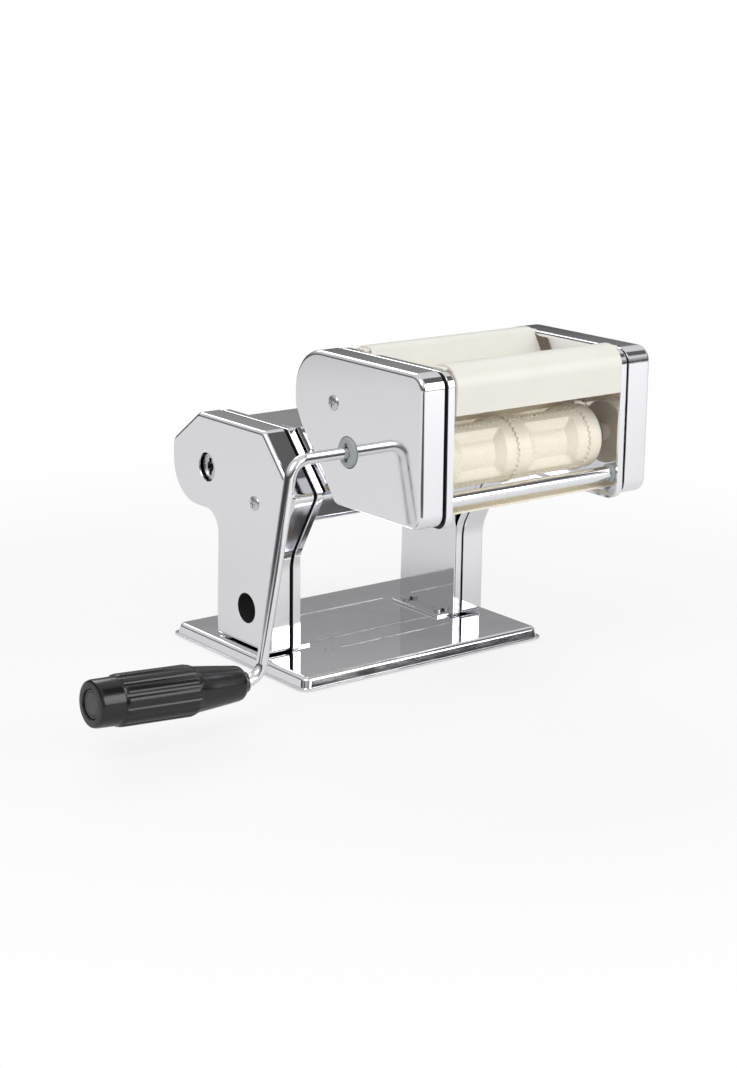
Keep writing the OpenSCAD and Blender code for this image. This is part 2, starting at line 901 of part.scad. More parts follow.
module unit_cover() {
    difference() {
        cover_shell(unit_corners(unit_low), -cover_x, -rim_x);
        bar_x(-cover_x - over, -cover_x + 3, unit_post_y, unit_post_z, screw_r + 0.1);
    }
}

module ravioli_left_cover() {
    color(chrome)
    difference() {
        unit_cover();
        bar_x(-cover_x - over, -cover_x + 3, ravioli_y, ravioli_z, hub_hole_r);
    }
}

module ravioli_right_cover() {
    color(chrome)
    mirror([1, 0, 0])
        unit_cover();
}

unit_bush_r = 8.5;

module unit_plate() {
    difference() {
        flanged_plate(unit_corners(unit_plate_low), -plate_x);
        for (y = [ravioli_y, front_ravioli_y])
            bar_x(-plate_x - over, -inner_x + over, y, ravioli_z, unit_bush_r);
        bar_x(-plate_x - over, -inner_x + over, unit_post_y, unit_post_z, screw_r + 0.1);
    }
}

module ravioli_left_plate() {
    color(chrome)
    unit_plate();
}

module ravioli_right_plate() {
    color(chrome)
    mirror([1, 0, 0])
        unit_plate();
}

// Bracket between the unit's sloping flange and the machine's rail
module hook_bracket() {
    web_t = 2.6;
    foot_w = 13;
    foot_t = 2;
    head_w = rail_w - 2 * (rail_t + part_gap);
    head_t = rail_h - 2 * (rail_t + part_gap);
    s_len = 25;
    head_out = rail_t + part_gap;
    foot_out = unit_gap + 2 * plate_inset;
    on_slope()
        union() {
            translate([-head_w / 2, bracket_s, head_out])
                cube([head_w, s_len, head_t]);
            translate([-web_t / 2, bracket_s, head_out])
                cube([web_t, s_len, foot_out - head_out]);
            translate([-foot_w / 2, bracket_s, foot_out - foot_t])
                cube([foot_w, s_len, foot_t]);
        }
}

module hook_bracket_left() {
    color(chrome)
    translate([-rail_x, 0, 0])
        hook_bracket();
}

module hook_bracket_right() {
    color(chrome)
    translate([rail_x, 0, 0])
        hook_bracket();
}

module front_bar() {
    color(chrome)
    bar_x(-inner_x, inner_x, bar_y, bar_z, bar_d / 2);
}

module bar_nuts() {
    nut_w = 5;
    color(nylon)
    for (side = [0, 1])
        mirror([side, 0, 0])
            difference() {
                bar_x(-inner_x, -inner_x + nut_w, bar_y, bar_z, bar_d / 2 + 1.6);
                bar_x(-inner_x - over, -inner_x + nut_w + over, bar_y, bar_z,
                    bar_d / 2 + seat_gap);
            }
}

rear_bar_y = ravioli_y + 16;
rear_bar_z = ravioli_z - 24;

module rear_bar() {
    color(steel)
    bar_x(-inner_x, inner_x, rear_bar_y, rear_bar_z, 3);
}

// Scraper strips below the two ravioli rollers, mirrored about the nip
module unit_scrapers() {
    tip_z = ravioli_z - ridge_r - 0.7;
    reach = [17, 13];
    color(cream)
    for (side = [0, 1])
        translate([0, nip_y, 0])
            mirror([0, side, 0])
                along_x(-inner_x, inner_x)
                    polygon(sheet_section([
                        [-ravioli_pitch / 2 - reach[side], unit_plate_low + 6.4, 0],
                        [-ravioli_pitch / 2 - 11, unit_plate_low + 7.4, 4],
                        [-ravioli_pitch / 2 - 3.5, tip_z - 0.9, 0]], 1.4));
}

module ravioli_bushes() {
    color(nylon)
    for (side = [0, 1])
        mirror([side, 0, 0])
            for (y = [ravioli_y, front_ravioli_y])
                difference() {
                    bar_x(-plate_x - 2.4, -inner_x + 2, y, ravioli_z, unit_bush_r - seat_gap);
                    bar_x(-plate_x - 4, -inner_x + 4, y, ravioli_z, journal_r + run_gap);
                }
}

module unit_cover_posts() {
    color(steel)
    for (side = [0, 1])
        mirror([side, 0, 0])
            bar_x(-cover_x + cover_t, -plate_x, unit_post_y, unit_post_z, post_r);
}

module unit_cover_screws() {
    color(steel)
    for (side = [0, 1])
        mirror([side, 0, 0])
            screw_head(-cover_x, unit_post_y, unit_post_z);
}

// Turn of the rear roller's ridges; the front roller mirrors it
ridge_phase = -22;
// Places of the cutting rings along the roller
ring_pitch = 57.5;
ring_mid = -7.5;

// Ravioli roller: a core with cross ridges and rings that cut the pockets
module ravioli_barrel(y, phase) {
    ring_w = 4;
    ridge_w = 4;
    around = 3;
    land_w = 9;
    land_r = ridge_r - 0.8;
    core_r = ridge_r - pocket_depth;
    ridge_root = core_r - 3;
    left = ring_mid - ring_pitch - ring_w / 2;
    right = left + barrel_len;
    last = ring_mid + ring_pitch + ring_w / 2;
    union() {
        bar_x(left, right, y, ravioli_z, core_r);
        bar_x(last - ring_w, right, y, ravioli_z, land_r);
        for (i = [-1:1]) {
            mid = ring_mid + i * ring_pitch;
            bar_x(max(mid - land_w, left), min(mid + land_w, last), y, ravioli_z, land_r);
            bar_x(mid - ring_w / 2, mid + ring_w / 2, y, ravioli_z, ridge_r);
        }
        for (i = [0:around - 1])
            translate([0, y, ravioli_z])
                rotate([phase + 360 * i / around, 0, 0])
                    translate([left + 1, -ridge_w / 2, ridge_root])
                        cube([last - left - 2, ridge_w, ridge_r - 0.15 - ridge_root]);
    }
}

module rear_ravioli_roller() {
    shaft_end = plate_x + 3.5;
    color(cream)
    difference() {
        union() {
            ravioli_barrel(ravioli_y, ridge_phase);
            bar_x(-shaft_end, unit_gear_x + gear_w, ravioli_y, ravioli_z, journal_r);
        }
        bar_x(-shaft_end - over, -shaft_end + 8, ravioli_y, ravioli_z, socket_r);
    }
}

unit_modul = ravioli_pitch / ravioli_teeth;

module rear_ravioli_gear() {
    color(cream)
    gear_x_axis(unit_gear_x, ravioli_y, ravioli_z, gear_w, ravioli_teeth, unit_modul,
        gear_backlash, journal_r + seat_gap, 0);
}

module crank_hub() {
    face_x = -cover_x - hub_proud;
    slot_h = drive_pin_len + 0.8;
    color(nylon)
    difference() {
        bar_x(face_x, -plate_x - 3.5, ravioli_y, ravioli_z, hub_r);
        bar_x(face_x - over, -plate_x + over, ravioli_y, ravioli_z, socket_r);
        translate([face_x - over, ravioli_y - drive_slot_w / 2, ravioli_z - slot_h / 2])
            cube([drive_slot_depth + over, drive_slot_w, slot_h]);
    }
}

module front_ravioli_roller() {
    color(cream)
    union() {
        ravioli_barrel(front_ravioli_y, -ridge_phase);
        bar_x(-plate_x - 3.5, unit_gear_x + gear_w, front_ravioli_y, ravioli_z, journal_r);
    }
}

module front_ravioli_gear() {
    color(cream)
    gear_x_axis(unit_gear_x, front_ravioli_y, ravioli_z, gear_w, ravioli_teeth, unit_modul,
        gear_backlash, journal_r + seat_gap, 180 / ravioli_teeth);
}

// Section of one hopper wing, from the nip out over the roller
hopper_top = unit_top + 2.6;
throat_y = 5.5;
throat_z = ravioli_z + 17.5;
mouth_y = 32;
wing_y = 51.5;
wing_drop = 29;
wing_r = 8;
curl_r = 13;
function wing_section() = sheet_section([
    [-throat_y, throat_z, 0],
    [-mouth_y, hopper_top, wing_r],
    [-wing_y, hopper_top, curl_r],
    [-wing_y + 1, hopper_top - wing_drop, 0]], hopper_t, 10);

module dough_hopper() {
    half = hopper_len / 2;
    end_t = 2;
    end_top = throat_z + 19.5;
    end_half = 6.3;
    end_spread = 18.6;
    tab_y = 33;
    tab_w = 9;
    color(cream)
    translate([0, nip_y, 0])
        union() {
            for (side = [0, 1])
                mirror([0, side, 0]) {
                    along_x(-half, half)
                        polygon(wing_section());
                    for (x = [0, 1])
                        mirror([x, 0, 0])
                            translate([half - 1, -tab_y - tab_w, unit_top - plate_inset])
                                cube([plate_x - half - 1, tab_w, hopper_top - unit_top - 0.8]);
                }
            for (x = [-half, half - end_t])
                along_x(x, x + end_t)
                    polygon([
                        [-end_half, throat_z],
                        [end_half, throat_z],
                        [end_spread, end_top],
                        [-end_spread, end_top]]);
        }
}

// --- Crank -----------------------------------------------------------------------

// The rod lies in one plane: along -X, down the arm, and out along the handle.
// Directions and points in that plane are [x, z].
bend_one = 90 - arm_lean;
bend_two = 90 - arm_lean + handle_rise;
cut_one = bend_r * tan(bend_one / 2);
cut_two = bend_r * tan(bend_two / 2);
shaft_dir = [-1, 0];
arm_dir = [-sin(arm_lean), -cos(arm_lean)];
handle_dir = [-cos(handle_rise), sin(handle_rise)];
corner_one = [-crank_x, ravioli_z];
corner_two = corner_one + arm_dir * arm_drop / cos(arm_lean);
handle_len = grip_offset + grip_len - 4;
rod_inner_x = -cover_x - hub_proud + rod_reach;
drive_pin_x = -cover_x - hub_proud + drive_pin_in;

// Puts children at a point of the crank's plane, with +Z along the given direction
module in_crank_plane(p, dir) {
    translate([p[0], ravioli_y, p[1]])
        rotate([0, atan2(dir[0], dir[1]), 0])
            children();
}

// Straight length of the rod; rod_step keeps its ends just inside the bends it laps into
rod_step = 0.02;
rod_lap = 0.3;
module rod_straight(p, q) {
    in_crank_plane(p, unit(q - p))
        cylinder(h = norm(q - p), r = rod_r - rod_step);
}

// Round bend about a centre in the crank's plane, from angle a0 over the given span
module rod_bend(centre, a0, span) {
    translate([centre[0], ravioli_y, centre[1]])
        rotate([90, 0, 0])
            rotate([0, 0, a0])
                rotate_extrude(angle = span)
                    translate([bend_r, 0])
                        circle(r = rod_r);
}

module crank_rod() {
    bend_one_start = corner_one - shaft_dir * cut_one;
    bend_two_start = corner_two - arm_dir * cut_two;
    color(chrome)
    difference() {
        union() {
            rod_straight([rod_inner_x, ravioli_z], bend_one_start + shaft_dir * rod_lap);
            rod_bend(bend_one_start + bend_r * left_of(shaft_dir), 90, bend_one);
            rod_straight(corner_one + arm_dir * (cut_one - rod_lap),
                bend_two_start + arm_dir * rod_lap);
            rod_bend(bend_two_start + bend_r * right_of(arm_dir), -arm_lean - bend_two, bend_two);
            rod_straight(corner_two + handle_dir * (cut_two - rod_lap),
                corner_two + handle_dir * handle_len);
        }
        drive_pin_shape(seat_gap);
    }
}

// Puts children at the handle corner with +Z along the grip, away from the machine
module on_handle() {
    in_crank_plane(corner_two, handle_dir)
        children();
}

module drive_pin_shape(extra) {
    translate([drive_pin_x, ravioli_y, ravioli_z - drive_pin_len / 2])
        cylinder(h = drive_pin_len, r = drive_pin_r + extra);
}

module crank_drive_pin() {
    color(steel)
    drive_pin_shape(0);
}

washer_w = 0.8;

module grip_washers() {
    color(steel)
    on_handle() {
        translate([0, 0, grip_offset - washer_w - part_gap])
            difference() {
                cylinder(h = washer_w, r = 6.2);
                translate([0, 0, -over])
                    cylinder(h = washer_w + 2 * over, r = rod_r + seat_gap);
            }
        translate([0, 0, handle_len])
            cylinder(h = washer_w, r = 6.2);
    }
}

cap_r = 8.8;

module hand_grip() {
    neck_r = 10.5;
    r = grip_d / 2;
    end_r = 14;
    flutes = 14;
    flute_r = 1.8;
    bore_len = handle_len - grip_offset - part_gap;
    color(black)
    on_handle()
        translate([0, 0, grip_offset])
            difference() {
                rotate_extrude()
                    polygon([
                        [rod_r + run_gap, 0],
                        [neck_r - 3, 0],
                        [neck_r, 3],
                        [r - 1.5, grip_len * 0.38],
                        [r, grip_len * 0.39],
                        [r, grip_len * 0.84],
                        [r - 1.2, grip_len * 0.85],
                        [end_r, grip_len - 1],
                        [end_r - 1, grip_len],
                        [cap_r, grip_len],
                        [cap_r, bore_len],
                        [rod_r + run_gap, bore_len]]);
                for (i = [0:flutes - 1])
                    rotate(360 * i / flutes)
                        translate([r + 0.9, 0, grip_len * 0.41])
                            cylinder(h = grip_len * 0.41, r = flute_r, $fn = 24);
            }
}

module grip_end_disc() {
    disc_z = handle_len + washer_w + part_gap;
    color(black)
    on_handle()
        translate([0, 0, disc_z])
            cylinder(h = grip_offset + grip_len - disc_z - 0.8, r = cap_r);
}

base_plate();
rubber_feet();
base_screws();
left_frame_plate();
right_frame_plate();
left_side_cover();
right_side_cover();
top_cover();
front_panel();
portal_arch();
tie_rods();
cover_posts();
cover_screws();
guide_rail_left();
guide_rail_right();
rail_rivets();
roller_bushes();
front_scraper();
dial_plate();
spindle_bush();
drive_roller();
drive_gear();
bearing_block_left();
bearing_block_right();
carrier_bar();
rear_scraper();
adjustable_roller();
adjustable_gear();
cam_spindle();
spindle_nut();
thickness_knob();
stop_pin();
knob_spring();
ravioli_left_cover();
ravioli_right_cover();
ravioli_left_plate();
ravioli_right_plate();
hook_bracket_left();
hook_bracket_right();
front_bar();
bar_nuts();
rear_bar();
unit_scrapers();
ravioli_bushes();
unit_cover_posts();
unit_cover_screws();
rear_ravioli_roller();
rear_ravioli_gear();
crank_hub();
front_ravioli_roller();
front_ravioli_gear();
dough_hopper();
crank_rod();
crank_drive_pin();
grip_washers();
hand_grip();
grip_end_disc();
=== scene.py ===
# %% [markdown]
# # A hand-cranked pasta machine with its ravioli unit
# The solid model already has every plate, roller and gear in its right place and says what turns or
# slides. This lesson gives the machine its looks: pressed and chromed sheet, ivory rollers with pinked
# ridges, a ribbed black grip, and a plain studio around them. Each piece keeps the size of the solid
# that it stands for. Lengths on the machine are written in millimetres, as on a workshop drawing, and
# the studio is laid out in metres.

import json
import math

import bpy
from mathutils import Matrix, Vector


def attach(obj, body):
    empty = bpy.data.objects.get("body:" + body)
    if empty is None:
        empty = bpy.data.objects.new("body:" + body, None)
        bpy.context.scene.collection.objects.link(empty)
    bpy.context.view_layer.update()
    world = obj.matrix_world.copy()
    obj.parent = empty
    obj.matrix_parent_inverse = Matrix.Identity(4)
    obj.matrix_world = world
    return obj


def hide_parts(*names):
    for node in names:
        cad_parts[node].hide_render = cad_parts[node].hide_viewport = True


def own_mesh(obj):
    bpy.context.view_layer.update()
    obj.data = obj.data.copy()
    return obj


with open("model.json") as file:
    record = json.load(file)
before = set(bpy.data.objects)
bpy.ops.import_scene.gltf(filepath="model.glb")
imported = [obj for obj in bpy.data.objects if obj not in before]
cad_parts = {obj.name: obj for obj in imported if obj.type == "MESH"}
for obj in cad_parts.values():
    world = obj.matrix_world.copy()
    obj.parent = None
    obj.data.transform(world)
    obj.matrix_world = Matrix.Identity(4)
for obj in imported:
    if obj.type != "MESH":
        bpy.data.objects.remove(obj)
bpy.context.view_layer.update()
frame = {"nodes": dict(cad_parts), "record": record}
nodes = frame["nodes"]
MM = 0.001

# %% [markdown]
# ## Small workshop moves
# Operators act on whatever is selected, so each move starts by deselecting everything. These helpers
# do what the hand does in the window: pick a piece, open it, and pick some of its faces. A face could
# be named by its number, but numbers change with every cut. So faces are picked by where they lie and
# which way they look.


# %% Selecting
def only(piece):
    """Leaves this piece alone selected and active."""
    if bpy.context.object and bpy.context.object.mode != "OBJECT":
        bpy.ops.object.mode_set(mode="OBJECT")
    bpy.ops.object.select_all(action="DESELECT")
    piece.select_set(True)
    bpy.context.view_layer.objects.active = piece


def edit(piece, kind="FACE"):
    """Opens edit mode with nothing selected."""
    only(piece)
    bpy.ops.object.mode_set(mode="EDIT")
    bpy.ops.mesh.select_mode(type=kind)
    bpy.ops.mesh.select_all(action="DESELECT")


def done():
    """Closes edit mode."""
    bpy.ops.object.mode_set(mode="OBJECT")


def pick_faces(piece, test):
    """In edit mode afterwards, with the faces selected whose centre and normal pass the test."""
    edit(piece, "FACE")
    done()
    for face in piece.data.polygons:
        face.select = test(face.center / MM, face.normal)
    bpy.ops.object.mode_set(mode="EDIT")


print("selected after loading:", len(bpy.context.selected_objects), "pieces")

# %% [markdown]
# ## Finishing a mesh
# No real edge is perfectly sharp, and the small round on it is what catches the light. Edges could be
# bevelled one by one in edit mode. The Bevel modifier finds them all by their angle, and weighted
# normals then keep the flat faces flat beside the rounds.


# %% Finishing a mesh
def outward(piece):
    """Merges doubles and turns every face outwards."""
    edit(piece)
    bpy.ops.mesh.select_all(action="SELECT")
    bpy.ops.mesh.remove_doubles(threshold=1e-6)
    bpy.ops.mesh.delete_loose()
    bpy.ops.mesh.select_all(action="SELECT")
    bpy.ops.mesh.normals_make_consistent(inside=False)
    done()


def apply_modifier(piece, kind, **settings):
    """Adds a modifier with these settings and applies it at once."""
    only(piece)
    modifier = piece.modifiers.new(kind.title(), kind)
    for key, value in settings.items():
        setattr(modifier, key, value)
    bpy.ops.object.modifier_apply(modifier=modifier.name)


SHARP_ANGLE = 38


def smooth(piece, angle=32, bevel=0.0, segments=2):
    """Rounds the sharp edges a little and shades the curved faces smooth, the flat ones flat."""
    if bevel:
        apply_modifier(
            piece,
            "BEVEL",
            width=bevel * MM,
            segments=segments,
            limit_method="ANGLE",
            angle_limit=math.radians(SHARP_ANGLE),
            use_clamp_overlap=True,
        )
    only(piece)
    bpy.ops.object.shade_smooth_by_angle(angle=math.radians(angle))
    apply_modifier(piece, "WEIGHTED_NORMAL", keep_sharp=True, weight=80)
    return piece


print("edges of more than", SHARP_ANGLE, "degrees are rounded")

# %% [markdown]
# ## Drawing and pulling
# Most of the machine is sheet, so most pieces start as a drawn outline that is pulled along one
# direction. The outline could be a curve with an extrude setting. A ring of vertices dragged to their
# places is simpler, because the result is a mesh from the start and its faces can be picked.


# %% Drawing and pulling
def drawn(name, points):
    """A flat face through points in millimetres, from a ring whose corners are dragged to them."""
    bpy.ops.object.select_all(action="DESELECT")
    bpy.ops.mesh.primitive_circle_add(vertices=len(points), radius=0.01, fill_type="NGON")
    piece = bpy.context.object
    piece.name = piece.data.name = name
    for vertex, point in zip(piece.data.vertices, points):
        vertex.co = Vector(point) * MM
    return piece


def pulled(piece, move):
    """Extrudes the whole drawn face along a move in millimetres and closes it into a solid."""
    edit(piece)
    bpy.ops.mesh.select_all(action="SELECT")
    bpy.ops.mesh.extrude_region_move(TRANSFORM_OT_translate={"value": Vector(move) * MM})
    done()
    outward(piece)
    return piece


def bar(name, section, place, length):
    """A bar with a drawn section. place takes (u, v, along) in millimetres to the machine's frame."""
    piece = drawn(name, [place @ Vector((u, v, 0)) for u, v in section])
    return pulled(piece, place.to_3x3() @ Vector((0, 0, length)))


def axes(origin, u, v):
    """The placing matrix of a section: origin, its two directions and the one it is pulled along."""
    u, v = Vector(u).normalized(), Vector(v).normalized()
    w = u.cross(v)
    return Matrix.Translation(Vector(origin)) @ Matrix((u, v, w)).transposed().to_4x4()


def across(x):
    """Places a section drawn in Y and Z so that it is pulled along +X from x."""
    return axes((x, 0, 0), (0, 1, 0), (0, 0, 1))


print("a section across the machine is pulled along", tuple(across(0).to_3x3() @ Vector((0, 0, 1))))

# %% [markdown]
# ## Outlines with rounded corners
# The covers and the plates of the machine are cut from sheet to one outline with a rounded corner
# wherever two edges meet. A corner is a point with a radius; the arc between its two tangent points
# replaces it. The same function moves an outline in or out, which keeps neighbouring sheets parallel.


# %% Outlines
def arc_corner(before, corner, after, r, steps):
    """Points of the arc that rounds a corner between its neighbours."""
    p = Vector(corner)
    d1, d2 = (p - Vector(before)).normalized(), (Vector(after) - p).normalized()
    turn = d1.angle(d2)
    if turn < 1e-4 or r < 1e-6:
        return [p]
    side = 1 if d1.x * d2.y - d1.y * d2.x > 0 else -1
    start = p - d1 * r * math.tan(turn / 2)
    centre = start + side * r * Vector((-d1.y, d1.x))
    spokes = [Matrix.Rotation(side * turn * k / steps, 2) for k in range(steps + 1)]
    return [centre + spoke @ (start - centre) for spoke in spokes]


def outline(corners, grow=0.0, steps=10):
    """Closed counterclockwise outline of (a, b, radius) corners; grow moves its edges outwards."""
    points, n = [], len(corners)
    flat = [Vector(c[:2]) for c in corners]
    moved, radii = [], []
    for i in range(n):
        d1 = (flat[i] - flat[i - 1]).normalized()
        d2 = (flat[(i + 1) % n] - flat[i]).normalized()
        n1, n2 = Vector((d1.y, -d1.x)), Vector((d2.y, -d2.x))
        moved.append(flat[i] + grow * (n1 + n2) / (1 + n1.dot(n2)))
        convex = d1.x * d2.y - d1.y * d2.x >= 0
        radii.append(max(0.1, corners[i][2] + (grow if convex else -grow)))
    for i in range(n):
        points += arc_corner(moved[i - 1], moved[i], moved[(i + 1) % n], radii[i], steps)
    return [tuple(p) for p in points]


def oblong(a0, b0, a1, b1):
    """The four corners of a rectangle, counterclockwise."""
    return [(a0, b0), (a1, b0), (a1, b1), (a0, b1)]


rounded = outline([(a, b, 2) for a, b in oblong(0, 0, 9, 9)])
print("a square with rounded corners has", len(rounded), "points")

# %% [markdown]
# ## The two side views
# Two outlines rule the whole machine: the side view of the body and that of the ravioli unit. The
# front of the body slopes, the unit slides up that slope, and its back runs parallel to it. So both
# outlines are written with distances along the slope and out of it.

# %% The slope and the main heights
NOSE = Vector((-52.5, 119.0))
TILT = math.radians(47.6)
ALONG = Vector((math.cos(TILT), math.sin(TILT)))
OUT = Vector((-ALONG.y, ALONG.x))
BODY_TOP, BODY_BACK, HOUSING_LOW, HOUSING_R = 156.5, 90.0, 92.6, 27
UNIT_TOP, UNIT_FRONT, UNIT_LOW = 217.2, -179.6, 124.8
UNIT_STANDOFF = 38
COVER_FOOT, PLATE_FOOT = 9.8, 8.3


def on_slope(s, w):
    """Point at s up the slope from the nose and w out of it."""
    return NOSE + s * ALONG + w * OUT


slope_top = on_slope((BODY_TOP - NOSE.y) / ALONG.y, 0)
print("slope:", round((slope_top - NOSE).length, 1), "mm long")


# %% Side views
def body_corners(foot):
    """Side view of the machine: leg, housing, back chamfer, top, slope, nose and chin."""
    return [
        (-24.8, foot, 3),
        (38.0, foot, 3),
        (35.6, HOUSING_LOW, 14),
        (BODY_BACK, HOUSING_LOW, HOUSING_R),
        (BODY_BACK, BODY_TOP - 23.2, 9),
        (57.5, BODY_TOP, 7),
        (slope_top.x, slope_top.y, 5),
        (NOSE.x, NOSE.y, 5),
        (-25.0, 72.0, 30),
    ]


def unit_corners(low):
    """Side view of the ravioli unit: front foot, belly, the back along the slope, shoulder and top."""
    a, b = on_slope(5, UNIT_STANDOFF), on_slope(33, UNIT_STANDOFF)
    return [
        (UNIT_FRONT, low, 9),
        (a.x - 16.6 - (UNIT_LOW - low) * 0.6, low, 5),
        (a.x, a.y, 20),
        (b.x, b.y, 8),
        (b.x + 6, b.y + 11, 12),
        (b.x + 6.4, UNIT_TOP, 27),
        (UNIT_FRONT, UNIT_TOP, 10),
    ]


print("body outline points:", len(outline(body_corners(COVER_FOOT))))

# %% [markdown]
# ## Finishes
# Chrome plate on pressed sheet is a mirror that is never quite flat: a very weak, broad bump bends the
# reflections, and fine wiping marks show in its roughness. The rollers and screws are steel, turned or
# brushed. The unit's rollers are ivory plastic, and the hub and bushes are translucent grey nylon.
# Each finish could be a picture wrapped round the piece. Noise in the piece's own coordinates needs no
# unwrapping and has no seams, so all of them are made that way.


# %% Material helper
def finish(name, colour, metallic=0.0, roughness=0.4, **extra):
    """A Principled material; returns it with its node tree and shader."""
    material = bpy.data.materials.new(name)
    material.use_nodes = True
    tree = material.node_tree
    shader = tree.nodes["Principled BSDF"]
    shader.inputs["Base Color"].default_value = (*colour, 1)
    shader.inputs["Metallic"].default_value = metallic
    shader.inputs["Roughness"].default_value = roughness
    for key, value in extra.items():
        shader.inputs[key.replace("_", " ")].default_value = value
    return material, tree, shader


print("materials that came with the solids:", len(bpy.data.materials))


# %% Patterns
def pattern(tree, scale, detail=3.0, stretch=(1, 1, 1)):
    """A noise that follows the piece itself, through its object coordinates."""
    place = tree.nodes.new("ShaderNodeTexCoord")
    mapping = tree.nodes.new("ShaderNodeMapping")
    mapping.inputs["Scale"].default_value = stretch
    noise = tree.nodes.new("ShaderNodeTexNoise")
    noise.inputs["Scale"].default_value = scale
    noise.inputs["Detail"].default_value = detail
    tree.links.new(place.outputs["Object"], mapping.inputs["Vector"])
    tree.links.new(mapping.outputs["Vector"], noise.inputs["Vector"])
    return noise.outputs["Fac"]


def ramp(tree, source, low, high, from_low=0.3, from_high=0.7):
    """Maps a pattern onto a range of values."""
    node = tree.nodes.new("ShaderNodeMapRange")
    node.inputs["From Min"].default_value = from_low
    node.inputs["From Max"].default_value = from_high
    node.inputs["To Min"].default_value = low
    node.inputs["To Max"].default_value = high
    tree.links.new(source, node.inputs["Value"])
    return node.outputs["Result"]


def tint(tree, source, dark, light):
    """Mixes two colours by a pattern; inputs 6 and 7 of the node are the colours."""
    node = tree.nodes.new("ShaderNodeMix")
    node.data_type = "RGBA"
    node.inputs[6].default_value = (*dark, 1)
    node.inputs[7].default_value = (*light, 1)
    tree.links.new(source, node.inputs["Factor"])
    return node.outputs[2]


def bump(tree, shader, source, strength, distance):
    """Lets a pattern tilt the surface a little."""
    node = tree.nodes.new("ShaderNodeBump")
    node.inputs["Strength"].default_value = strength
    node.inputs["Distance"].default_value = distance
    tree.links.new(source, node.inputs["Height"])
    tree.links.new(node.outputs["Normal"], shader.inputs["Normal"])


print("a pattern value of 0.3 gives the low end of a range and 0.7 the high end")


# %% Chrome
def make_chrome(name, colour, wave, rough):
    """Chrome plate: a mirror that is slightly wavy and wiped."""
    material, tree, shader = finish(name, colour, metallic=1.0, roughness=rough)
    broad = pattern(tree, 9, 1.0)
    bump(tree, shader, broad, wave, 0.002)
    wiped = pattern(tree, 60, 4.0, (1, 1, 6))
    tree.links.new(ramp(tree, wiped, rough * 0.7, rough * 1.6), shader.inputs["Roughness"])
    return material


sheet_chrome = make_chrome("chromed_sheet", (0.86, 0.86, 0.89), 0.14, 0.055)
rod_chrome = make_chrome("chromed_rod", (0.84, 0.84, 0.86), 0.04, 0.05)
print("chrome:", sheet_chrome.name, rod_chrome.name)


# %% Turned steel
def make_steel(name, colour, rough, stretch):
    """Turned steel: fine marks that run round the piece, so they are squeezed along its axis."""
    material, tree, shader = finish(name, colour, metallic=1.0, roughness=rough)
    marks = pattern(tree, 45, 3.0, stretch)
    tree.links.new(ramp(tree, marks, rough * 0.7, rough * 1.5), shader.inputs["Roughness"])
    tree.links.new(
        tint(tree, marks, [c * 0.9 for c in colour], colour), shader.inputs["Base Color"]
    )
    bump(tree, shader, marks, 0.02, 0.0002)
    return material


steel = make_steel("turned_steel", (0.68, 0.68, 0.70), 0.24, (12, 1, 1))
print("steel:", steel.name)


# %% Moulded plastic
def make_plastic(name, dark, light, rough, grain, grain_scale, **extra):
    """Moulded plastic: a slightly cloudy colour and a fine grain."""
    material, tree, shader = finish(name, light, roughness=rough, **extra)
    cloud = pattern(tree, 30, 3.0)
    tree.links.new(tint(tree, cloud, dark, light), shader.inputs["Base Color"])
    fine = pattern(tree, grain_scale, 4.0)
    tree.links.new(ramp(tree, fine, rough * 0.8, rough * 1.2), shader.inputs["Roughness"])
    bump(tree, shader, fine, grain, 0.0004)
    return material


ivory = make_plastic(
    "ivory_plastic", (0.91, 0.82, 0.66), (0.95, 0.89, 0.76), 0.26, 0.03, 700,
    Subsurface_Weight=0.10,
)
hopper_white = make_plastic(
    "hopper_plastic", (0.81, 0.76, 0.68), (0.87, 0.83, 0.75), 0.34, 0.05, 600,
    Subsurface_Weight=0.10,
)
nylon = make_plastic(
    "grey_nylon", (0.36, 0.38, 0.38), (0.47, 0.49, 0.49), 0.32, 0.05, 500,
    Subsurface_Weight=0.15,
)
black = make_plastic(
    "black_plastic", (0.005, 0.005, 0.006), (0.009, 0.009, 0.011), 0.19, 0.03, 1500,
    Specular_IOR_Level=0.5,
)
disc_grey = make_plastic(
    "disc_plastic", (0.045, 0.045, 0.048), (0.065, 0.064, 0.07), 0.38, 0.05, 900
)
rubber = make_plastic("foot_rubber", (0.015, 0.015, 0.015), (0.03, 0.03, 0.03), 0.75, 0.2, 900)
print("plastics:", ivory.name, hopper_white.name, nylon.name, black.name, rubber.name)


# %% Dull finishes and painted shade
def make_dull(name, colour, rough, scale, low, high):
    """One even colour whose roughness varies a little."""
    material, tree, shader = finish(name, colour, roughness=rough)
    tree.links.new(ramp(tree, pattern(tree, scale), low, high), shader.inputs["Roughness"])
    return material


# Near-black painted shade for the covers' hollows, the gaps behind them and the clamp hole.
painted_shade_black = make_dull("painted_shade_inside", (0.012, 0.012, 0.013), 0.6, 60, 0.5, 0.75)
number_white = make_dull("number_paint", (0.75, 0.75, 0.74), 0.45, 800, 0.38, 0.55)
print("dull finishes:", painted_shade_black.name, number_white.name)

# %% [markdown]
# ## Finishes on the solids
# Some pieces stay as the solid model made them, such as gears, screws and bushes, because little of
# them shows. They get the same finishes as the new pieces, by the material that the record names. A
# new piece rides on the body of the real one and hides the solids that it stands for.

# %% The solids' finishes
LOOKS = {
    "chrome_sheet": sheet_chrome,
    "steel": steel,
    "chrome_rod": rod_chrome,
    "foot_rubber": rubber,
    "grey_nylon": nylon,
    "cream_plastic": ivory,
    "hopper_plastic": hopper_white,
    "black_plastic": black,
}
for entry in frame["record"]["subparts"]:
    solid = nodes[entry["node"]]
    solid.data.materials.clear()
    solid.data.materials.append(LOOKS[entry["material_slot"]])
print("finished solids:", len(nodes))


